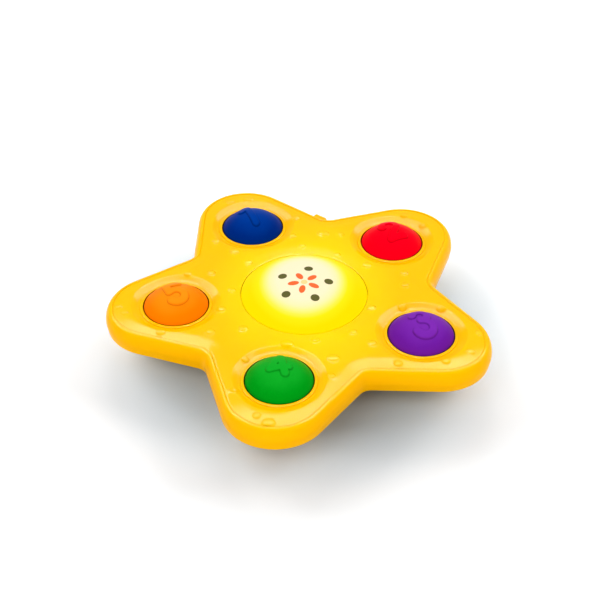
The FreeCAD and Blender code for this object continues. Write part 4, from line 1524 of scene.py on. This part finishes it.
def screwMesh(low, high, headRadius, headHeight, radius):
    f = screwForm
    steps = f["steps"]
    face = f["face"] * headRadius
    seat = low + headHeight
    grid = hexGrid((-face, -face), (face, face), headRadius / f["faceSteps"])
    grid = grid[np.hypot(*grid.T) < face * f["faceShare"]]
    flat, faces, rims = coverPoints([ringPoints((0, 0), face, steps)], grid, everywhere)
    x, y = np.abs(flat).T
    sideSlope, endSlope = f["recessSlope"]
    across = np.clip((f["recessWidth"] * headRadius - np.minimum(x, y)) / sideSlope, 0, 1)
    along = f["recessReach"] * headRadius - np.maximum(x, y)
    along = np.clip(along / (endSlope * headRadius), 0, 1)
    z = low + f["recessDepth"] * headHeight * across * along
    points = np.column_stack([flat, z]).tolist()
    faces = [tuple(t) for t in faces]
    headGap, tipGap = f["threadGaps"]
    thread = np.arange(seat + headGap, high - tipGap, f["threadPitch"] / f["threadSteps"])
    rings = [(share * headRadius, low + rise * headHeight, 0) for share, rise in f["headEdge"]]
    rings += [(radius, seat, 0)] + [(radius, z, f["threadDepth"]) for z in thread]
    rings += [(share * radius, high - drop, 0) for share, drop in f["tip"]]
    last = rims[0]
    turns = np.arange(steps) / steps
    for reach, z, cut in rings:
        wave = np.abs(((z / f["threadPitch"] - turns) % 1) * 2 - 1)
        ring = polar(1, 360 * turns) * (reach - cut * wave[:, None])
        here = range(len(points), len(points) + steps)
        points += atHeight(ring, z).tolist()
        faces += bandFaces(here, last)
        last = here
    faces.append(tuple(last))
    return points, faces


def addScrews(material):
    for node in ("housing_screws", "board_screws", "reflector_screws"):
        kinds, *sizes = screwForm[node]
        low, high = nodeBox(node)
        screw = screwMesh(low[2], high[2], *sizes)
        copies = []
        for kind in kinds:
            for turn, spot in screwSpots(kind):
                out, side = (*polar(1, turn), 0), (*polar(1, turn + 90), 0)
                copies.append(carried(screw, out, side, (0, 0, 1), (*(spot + middle), 0)))
        points, faces, source = mergedMeshes(copies)
        addPiece(node + "_threaded", points, faces, material, "housing", 35, [node])
    low, high = nodeBox("door_screw")
    mesh = screwMesh(low[2], high[2], (high[0] - low[0]) / 2, *screwForm["door_screw"])
    spot = (*(nodeSpot("door_screw") + middle), 0)
    points, faces = carried(mesh, (1, 0, 0), (0, 1, 0), (0, 0, 1), spot)
    addPiece("door_screw_threaded", points, faces, material, "door_screw", 35, ["door_screw"])


# Battery door: a plate with soft edges, grip ribs across its outside and two tongues inside
doorForm = {
    "plate": 1.8,
    "corner": 1.5,
    "edge": 0.5,
    "outerEdge": ((0.15, 0.15), (0.0, 0.5)),
    "innerEdge": ((0.0, 0.3), (0.1, 0.1)),
    "innerInset": 0.3,
    "pitch": 3.0,
    "skinGaps": (0.4, 0.3),
    "sink": (3.3, 1.2),
    "hole": 1.45,
    "holeSteps": 32,
    "holeShare": 0.97,
    "ribs": 7,
    "ribPitch": 2.6,
    "ribHalf": (9.0, 0.55),
    "ribRise": 0.6,
    "ribStart": 9.0,
    "ribSoft": 0.2,
    "ribGaps": (1.5, 1.3),
    "ribRows": (-1.1, 1.1, 13),
    "ribColumns": (-9.9, 10.0, 0.45),
    "tongue": (12.7, 4.24, 0.5),
    "tongueSink": 0.5,
    "tongueEdge": (0.3, 0.15),
}


def addDoor(material):
    f = doorForm
    low, high = nodeBox("battery_door")
    centre, half = (low + high)[:2] / 2, (high - low)[:2] / 2
    outside, inside = low[2], low[2] + f["plate"]
    screwSpot = nodeSpot("door_screw") + middle
    sinkRadius, sinkDepth = f["sink"]
    ribLines = high[1] - f["ribStart"] - f["ribPitch"] * np.arange(f["ribs"])
    ribLong, ribWide = f["ribHalf"]

    def rimAt(inset):
        return centre + cornerLoop(*(half - inset), f["corner"] - inset)

    def holeRing(radius):
        return ringPoints(screwSpot, radius, f["holeSteps"])

    def skin(inset, holeRadius, loose):
        rimGap, holeGap = f["skinGaps"]
        free = np.all(np.abs(loose - centre) < half - inset - rimGap, axis=1)
        free &= np.hypot(*(loose - screwSpot).T) > holeRadius + holeGap

        def keep(cx, cy):
            return np.hypot(cx - screwSpot[0], cy - screwSpot[1]) > holeRadius * f["holeShare"]

        loose = np.concatenate([loose[free], [screwSpot]])
        return coverPoints([rimAt(inset), holeRing(holeRadius)], loose, keep)

    def offRibs(flat):
        beyond = np.abs(flat[:, 0] - centre[0]) - ribLong
        return beyond, np.abs(flat[:, 1][:, None] - ribLines).min(axis=1)

    grid = hexGrid(low[:2], high[:2], f["pitch"])
    beyond, offLine = offRibs(grid)
    fine = [grid[(beyond >= f["ribGaps"][0]) | (offLine >= f["ribGaps"][1])]]
    columns = centre[0] + np.arange(*f["ribColumns"])
    for line in ribLines:
        for drop in np.linspace(*f["ribRows"]):
            fine.append(np.column_stack([columns, np.full(len(columns), line + drop)]))
    outer, outerFaces, outerRims = skin(f["edge"], sinkRadius, np.concatenate(fine))
    inner, innerFaces, innerRims = skin(f["innerInset"], f["hole"], grid)
    beyond, offLine = offRibs(outer)
    away = np.hypot(np.maximum(beyond, 0), offLine)
    share = np.clip((ribWide + f["ribSoft"] - away) / (2 * f["ribSoft"]), 0, 1)
    z = outside - f["ribRise"] * share * share * (3 - 2 * share)
    points = np.column_stack([outer, z]).tolist() + atHeight(inner, inside).tolist()
    faces = [tuple(t) for t in outerFaces] + movedOn(innerFaces, len(outer))

    def between(last, loops, end):
        for flat, z in loops:
            here = range(len(points), len(points) + len(flat))
            points.extend(atHeight(flat, z).tolist())
            faces.extend(bandFaces(here, last))
            last = here
        faces.extend(bandFaces(end, last))

    innerEnds = movedOn(innerRims, len(outer))
    levels = [(rimAt(inset), outside + rise) for inset, rise in f["outerEdge"]]
    levels += [(rimAt(inset), inside - drop) for inset, drop in f["innerEdge"]]
    between(outerRims[0], levels, innerEnds[0])
    seat = outside + sinkDepth
    between(outerRims[1], [(holeRing(r), seat) for r in (sinkRadius, f["hole"])], innerEnds[1])
    tongueX, tongueHalf, tongueWall = f["tongue"]
    foot = inside - f["tongueSink"]
    tongue, tongueFaces = blockMesh(tongueHalf, tongueWall, foot, high[2], *f["tongueEdge"])
    blocks = [(points, faces)]
    for x in (-tongueX, tongueX):
        shift = (centre[0] + x, nodeBox("contacts_left")[0][1] + tongueWall, 0)
        blocks.append((tongue + shift, tongueFaces))
    points, faces, source = mergedMeshes(blocks)
    return addPiece("battery_door_ribbed", points, faces, material, "door", 35, ["battery_door"])


# A round wire along a path that winds about the third axis, closed at both ends
def wireMesh(path, radius, sides=8):
    path = np.asarray(path)
    ahead = np.gradient(path, axis=0)
    ahead /= np.linalg.norm(ahead, axis=1)[:, None]
    side = np.cross(ahead, (0, 0, 1))
    side /= np.linalg.norm(side, axis=1)[:, None]
    rise = np.cross(side, ahead)
    rings = []
    for turn in np.radians(np.arange(sides) * 360 / sides):
        rings.append(path + radius * (math.cos(turn) * side + math.sin(turn) * rise))
    points = np.stack(rings, axis=1).reshape(-1, 3)
    return points, stackedFaces(len(points), sides)


# Battery contacts: a sheet strip with a wound spring for each flat end and a bump for each nub
contactForm = {
    "sheet": 0.4,
    "corner": 1.2,
    "edge": 0.12,
    "bumpSteps": 40,
    "wire": 0.28,
    "wireLift": 0.6,
    "springRadii": (3.8, 2.5),
    "springTurns": 3.0,
    "springSteps": 90,
    "springClimb": (0.15, 0.55),
    "bump": ((0, 0), (3.1, 0), (2.9, 0.25), (2.45, 0.6), (2.15, 0.85), (1.5, 0.97), (0, 1.0)),
}


def addContacts(side, material):
    f = contactForm
    node = "contacts_left" if side < 0 else "contacts_right"
    low, high = nodeBox(node)
    half, centre = (high - low) / 2, (high + low) / 2
    reach = high[0] - low[0] - f["sheet"]
    blocks = [blockMesh(half[1], half[2], 0, f["sheet"], f["corner"], f["edge"])]
    for index in range(batteries):
        cellLow, cellHigh = nodeBox(f"battery_{index + 1}")
        y = (cellLow[1] + cellHigh[1]) / 2 - centre[1]
        z = (cellLow[2] + cellHigh[2]) / 2 - centre[2]
        if (index % 2 == 0) == (side > 0):
            path = [(r, f["sheet"] / 2 + share * (reach + f["sheet"] / 2)) for r, share in f["bump"]]
            points, faces = turnedMesh(path, (0, 0), f["bumpSteps"])
        else:
            share = np.linspace(0, 1, f["springSteps"])
            start, end = f["springRadii"]
            flat = polar(1, 360 * f["springTurns"] * share) * (start + (end - start) * share)[:, None]
            climbStart, climbLong = f["springClimb"]
            climb = np.clip((share - climbStart) / climbLong, 0, 1)
            foot, wireTop = f["wire"] * f["wireLift"], f["wire"] * (1 + f["wireLift"])
            lift = f["sheet"] + foot + climb * (reach - wireTop)
            points, faces = wireMesh(np.column_stack([flat, lift]), f["wire"])
        blocks.append((np.asarray(points) + (y, z, 0), faces))
    points, faces, source = mergedMeshes(blocks)
    outside = low[0] if side < 0 else high[0]
    spot = (outside, centre[1], centre[2])
    points, faces = carried((points, faces), (0, 1, 0), (0, 0, 1), (-side, 0, 0), spot)
    return addPiece(node + "_sprung", points, faces, material, "housing", 40, [node])


# Battery cell: share of the radius and distance from the flat end for each step of its outline,
# with the finish of the band that follows: 0 for metal, 1 for the sleeve, 2 for its pale end
cellForm = {
    "steps": 48,
    "flatEnd": ((0, 0, 0), (0.76, 0, 0), (0.81, 0.2, 0), (0.9, 0.2, 1), (0.97, 0.05, 1), (1, 0.35, 1)),
    "paleFrom": 14.0,
    "nubEnd": (
        (1, -1.75, 2),
        (0.97, -1.35, 2),
        (0.88, -1.25, 0),
        (0.84, -1.4, 0),
        (0.56, -1.5, 0),
        (0.4, -1.4, 0),
        (0.362, -1.1, 0),
        (0.362, -0.25, 0),
        (0.31, 0, 0),
        (0, 0, 0),
    ),
}


def addCell(index, materials):
    f = cellForm
    node = f"battery_{index + 1}"
    low, high = nodeBox(node)
    radius, length = (high[2] - low[2]) / 2, high[0] - low[0]
    outline = list(f["flatEnd"]) + [(1, length - f["paleFrom"], 2)]
    outline += [(share, length + z, band) for share, z, band in f["nubEnd"]]
    path = [(share * radius, z) for share, z, band in outline]
    points, faces = turnedMesh(path, (0, 0), f["steps"])
    finish = [band for share, z, band in outline[:-1] for i in range(f["steps"])]
    flip = -1 if index % 2 else 1
    spot = (high[0] if index % 2 else low[0], (low[1] + high[1]) / 2, (low[2] + high[2]) / 2)
    points, faces = carried((points, faces), (0, flip, 0), (0, 0, 1), (flip, 0, 0), spot)
    return addPiece(
        node + "_sleeved", points, faces, materials, "housing", 40, [node], finish=finish
    )


# Sound chip: a flat body and bent legs on two sides
chipForm = {
    "turn": -54.0,
    "body": (3.3, 4.4, 0.35),
    "bodyEdge": (0.3, 0.2),
    "legs": 8,
    "legPitch": 1.0,
    "legWidth": 0.4,
    "legPath": ((3.2, 0.75), (3.75, 0.75), (4.0, 0.1), (4.5, 0.1)),
    "legSheet": 0.09,
}


def addChip(materials):
    f = chipForm
    low, high = nodeBox("sound_chip")
    halfX, halfY, lift = f["body"]
    blocks = [blockMesh(halfX, halfY, lift, high[2] - low[2], *f["bodyEdge"])]
    sheet = f["legSheet"]
    upper = [(x, z + sheet) for x, z in f["legPath"]]
    profile = upper + [(x, z - sheet) for x, z in f["legPath"][::-1]]
    for index in range(f["legs"]):
        y = (index - (f["legs"] - 1) / 2) * f["legPitch"]
        leg, legFaces = stackedMesh([(np.array(profile), y + s * f["legWidth"] / 2) for s in (-1, 1)])
        for flip in (1, -1):
            blocks.append(carried((leg, legFaces), (flip, 0, 0), (0, 0, 1), (0, 1, 0), (0, 0, 0)))
    points, faces, source = mergedMeshes(blocks)
    finish = [min(1, s) for s in source]
    spot = (*(nodeSpot("sound_chip") + middle), low[2])
    out, side = (*polar(1, f["turn"]), 0), (*polar(1, f["turn"] + 90), 0)
    points, faces = carried((points, faces), out, side, (0, 0, 1), spot)
    name, replaced = "sound_chip_legged", ["sound_chip"]
    return addPiece(
        name, points, faces, materials, "housing", 30, replaced, finish=finish
    )


# Loudspeaker cone, which faces down: a rolled edge, the paper cone and a domed dust cap
coneForm = {
    "steps": 72,
    "roll": 2.3,
    "rollRise": 0.55,
    "rollTurns": (160, 20, 9),
    "lift": 0.05,
    "crease": 0.15,
    "coneGaps": (0.8, 0.1),
    "coneSteps": 12,
    "bow": 0.9,
    "capRadius": 4.6,
    "capRise": 0.9,
    "capSteps": 9,
    "paper": 0.28,
}


def addCone(material):
    f = coneForm
    low, high = nodeBox("speaker_cone")
    radius = (high[0] - low[0]) / 2
    rollEnd, capRadius = radius - f["roll"], f["capRadius"]
    edgeZ = low[2] + f["rollRise"] + f["lift"]
    crestZ = high[2] - f["paper"]
    path = [(radius, edgeZ)]
    for turn in np.radians(np.linspace(*f["rollTurns"])):
        reach = radius - f["roll"] * (1 + math.cos(turn)) / 2
        path.append((reach, edgeZ - f["rollRise"] * math.sin(turn)))
    path.append((rollEnd - f["crease"], edgeZ + f["lift"]))
    outerGap, innerGap = f["coneGaps"]
    for reach in np.linspace(rollEnd - outerGap, capRadius + innerGap, f["coneSteps"]):
        share = (rollEnd - reach) / (rollEnd - capRadius)
        path.append((reach, edgeZ + (crestZ - edgeZ) * share ** f["bow"]))
    for reach in np.linspace(capRadius, 0, f["capSteps"]):
        path.append((reach, crestZ - float(capHeight(capRadius, f["capRise"], reach))))
    path += [(reach, z + f["paper"]) for reach, z in path[::-1]]
    points, faces = turnedMesh(path, tuple(nodeSpot("speaker_cone") + middle), f["steps"])
    name = "speaker_cone_rolled"
    return addPiece(name, points, faces, material, "housing", 40, ["speaker_cone"])


# Finishes of the vinyl cups, the circuit board and the lamps under the lens
hiddenFinish = {
    "vinyl": (0.86, 0.89, 0.90),
    "vinylSockets": {"TransmissionWeight": 0.42, "IOR": 1.46},
    "vinylClouds": (55, 4.0, 0.35, 0.75),
    "vinylShade": 0.9,
    "vinylSkin": (700, 0.02, 0.2, 0.3),
    "board": (0.010, 0.13, 0.040),
    "tracks": (0.045, 0.30, 0.10),
    "trackPattern": {"Scale": 240, "Mortar Size": 0.05, "Brick Width": 2.6, "Row Height": 0.6},
    "boardSkin": (900, 0.02, 0.33, 0.45),
    "carbon": (0.012, 0.012, 0.013),
    "carbonPad": 5.6,
    "carbonFade": 0.15,
    "lampGlow": (1.0, 0.82, 0.35),
    "lampStrength": 0.8,
}


def clearVinyl():
    f = hiddenFinish
    material = newMaterial("clear_vinyl", f["vinyl"], **f["vinylSockets"])
    haze = cloudOf(material, *f["vinylClouds"])
    paint(material, mixOf(material, haze, f["vinyl"], scaled(f["vinyl"], f["vinylShade"])))
    addSkin(material, *f["vinylSkin"])
    return material


# Solder mask with faint tracks under it, and a carbon pad under each button
def boardMask():
    f = hiddenFinish
    material = newMaterial("circuit_board_mask", f["board"])
    tracks = addNode(material, "ShaderNodeTexBrick")
    link(material, placeOf(material), tracks.inputs["Vector"])
    for key, number in f["trackPattern"].items():
        tracks.inputs[key].default_value = number
    for key, tone in (("Color1", "board"), ("Color2", "board"), ("Mortar", "tracks")):
        tracks.inputs[key].default_value = (*f[tone], 1)
    color = tracks.outputs["Color"]
    edge, fade = f["carbonPad"] * mm, f["carbonFade"] * mm
    for spot in buttonSpots:
        pad = spanOf(material, reachFrom(material, spot + middle), edge, edge + fade, 1, 0)
        color = mixOf(material, pad, color, f["carbon"])
    paint(material, color)
    addSkin(material, *f["boardSkin"])
    return material


def litLamp():
    material = mouldedPlastic("lamp_epoxy")
    shader = shaderOf(material)
    shader.inputs["Emission Color"].default_value = (*hiddenFinish["lampGlow"], 1)
    shader.inputs["Emission Strength"].default_value = hiddenFinish["lampStrength"]
    return material


# Soft studio light. Each lamp has its azimuth and height in the sky in degrees, its width in
# degrees, what it adds to a surface that faces it, and what it does: it lights the floor, lights
# the toy, or only gives the moulded shell its gloss. The azimuth is counted from the camera.
studio = {
    "floorColor": (0.41, 0.41, 0.41),
    # floorByToy is a cooler floor colour painted near the toy, which cancels the warm light the toy
    # bounces onto the floor
    "floorByToy": (0.36, 0.41, 0.443),
    "floorReach": (90.0, 140.0),
    "floorRoughness": 0.9,
    "floorHalf": 6.0,
    "skyFill": 0.25,
    "lamps": {
        "floor_front_right": (60, 25, 60, 0.59, "floor"),
        "floor_right": (120, 20, 30, 1.40, "floor"),
        "floor_back_right": (145, 20, 30, 1.09, "floor"),
        "floor_back": (180, 20, 30, 1.58, "floor"),
        "floor_back_left": (215, 20, 30, 1.46, "floor"),
        "floor_left": (240, 20, 40, 1.05, "floor"),
        "floor_front_left": (300, 25, 60, 1.10, "floor"),
        "overhead_softbox": (180, 88, 50, 0.50, "matt"),
        "overhead_gloss": (180, 72, 46, 7.6, "gloss"),
        "left_gloss": (-125, 52, 40, 4.6, "gloss"),
        "right_gloss": (125, 52, 40, 4.6, "gloss"),
        "back_light": (180, 42, 40, 0.35, "matt"),
        "left_fill": (-48, 20, 50, 0.34, "matt"),
        "right_fill": (48, 20, 50, 0.34, "matt"),
    },
}


def addFloor():
    size = studio["floorHalf"]
    mesh = bpy.data.meshes.new("floor")
    corners = [(-size, -size, 0), (size, -size, 0), (size, size, 0), (-size, size, 0)]
    mesh.from_pydata(corners, [], [(0, 1, 2, 3)])
    floor = bpy.data.objects.new("floor", mesh)
    bpy.context.scene.collection.objects.link(floor)
    sockets = {"Roughness": studio["floorRoughness"], "SpecularIORLevel": 0.0}
    material = newMaterial("floor_white", studio["floorColor"], **sockets)
    # Painted: within floorReach of the toy the floor turns cooler, to cancel the warm light bounced from
    # the toy
    near, far = (v * mm for v in studio["floorReach"])
    reach = spanOf(material, reachFrom(material, middle), near, far)
    paint(material, mixOf(material, reach, studio["floorByToy"], studio["floorColor"]))
    mesh.materials.append(material)
    return floor


# White where the camera sees it, straight, in gloss or through the vinyl, and fainter as light
def addSky():
    world = bpy.data.worlds.new("studio")
    bpy.context.scene.world = world
    world.use_nodes = True
    tree = world.node_tree
    background = tree.nodes["Background"]
    rays = tree.nodes.new("ShaderNodeLightPath")
    seen = rays.outputs["Is Camera Ray"]
    for name in ("Is Glossy Ray", "Is Transmission Ray"):
        either = tree.nodes.new("ShaderNodeMath")
        either.operation = "MAXIMUM"
        tree.links.new(seen, either.inputs[0])
        tree.links.new(rays.outputs[name], either.inputs[1])
        seen = either.outputs[0]
    span = tree.nodes.new("ShaderNodeMapRange")
    span.inputs["To Min"].default_value = studio["skyFill"]
    span.inputs["To Max"].default_value = 1.0
    tree.links.new(seen, span.inputs["Value"])
    background.inputs["Color"].default_value = (1, 1, 1, 1)
    tree.links.new(span.outputs["Result"], background.inputs["Strength"])


def addLamps(floor, glossy):
    for name, (azimuth, height, width, level, task) in studio["lamps"].items():
        data = bpy.data.lights.new(name, "SUN")
        data.angle = math.radians(width)
        data.energy = level * math.pi
        lamp = bpy.data.objects.new(name, data)
        bpy.context.scene.collection.objects.link(lamp)
        turn = math.radians(photoView["azimuth"] - 90 + azimuth)
        rise = math.radians(height)
        aim = Vector((math.cos(turn) * math.cos(rise), math.sin(turn) * math.cos(rise), math.sin(rise)))
        lamp.location = aim
        lamp.rotation_euler = aim.to_track_quat("Z", "Y").to_euler()
        reach = bpy.data.collections.new(name + "_reach")
        for piece in glossy if task == "gloss" else [floor]:
            reach.objects.link(piece)
        for member in reach.collection_objects:
            member.light_linking.link_state = "EXCLUDE" if task == "matt" else "INCLUDE"
        lamp.light_linking.receiver_collection = reach
        lamp.visible_diffuse = task != "gloss"
        lamp.visible_glossy = task != "matt"


shellMaterial = shellPlastic()
steel = brushedSteel()
blackPlastic = mouldedPlastic("black_plastic")
topShell = addTopShell(shellMaterial)
print("top shell made")
for index in range(arms):
    addButton(f"button_{index + 1}", buttonPlastic(f"button_{index + 1}"))
print("buttons made")
addLens(milkyPlastic())
addPrint()
print("lens made")
knob = addKnob(shellMaterial)
vinyl = clearVinyl()
for index in range(arms):
    addSuctionCup(f"suction_cup_{index + 1}", vinyl)
addDoor(shellMaterial)
addScrews(steel)
print("knob, suction cups, door and screws made")
cellFinishes = [steel, mouldedPlastic("cell_sleeve"), mouldedPlastic("cell_sleeve_end")]
for index in range(batteries):
    addCell(index, cellFinishes)
for side in (-1, 1):
    addContacts(side, steel)
addChip([blackPlastic, steel])
addCone(mouldedPlastic("cone_paper"))
keyFinishes = [mouldedPlastic("grey_silicone"), mouldedPlastic("carbon_pill")]
for index in range(arms):
    addRubberKey(index + 1, keyFinishes)
print("batteries, contacts, chip, loudspeaker and rubber keys made")
addSky()
addLamps(addFloor(), [topShell, knob])
print("floor and lights made")

nodeFinish = {
    "bottom_shell": shellMaterial,
    "reflector": mouldedPlastic("reflector_white"),
    "main_board": boardMask(),
    "leds": litLamp(),
    "switch_case": steel,
    "switch_lever": blackPlastic,
    "speaker_frame": steel,
}
for name, finish in nodeFinish.items():
    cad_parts[name].data.materials.clear()
    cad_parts[name].data.materials.append(finish)
print("other nodes finished")

bpy.context.scene.view_settings.view_transform = "Standard"
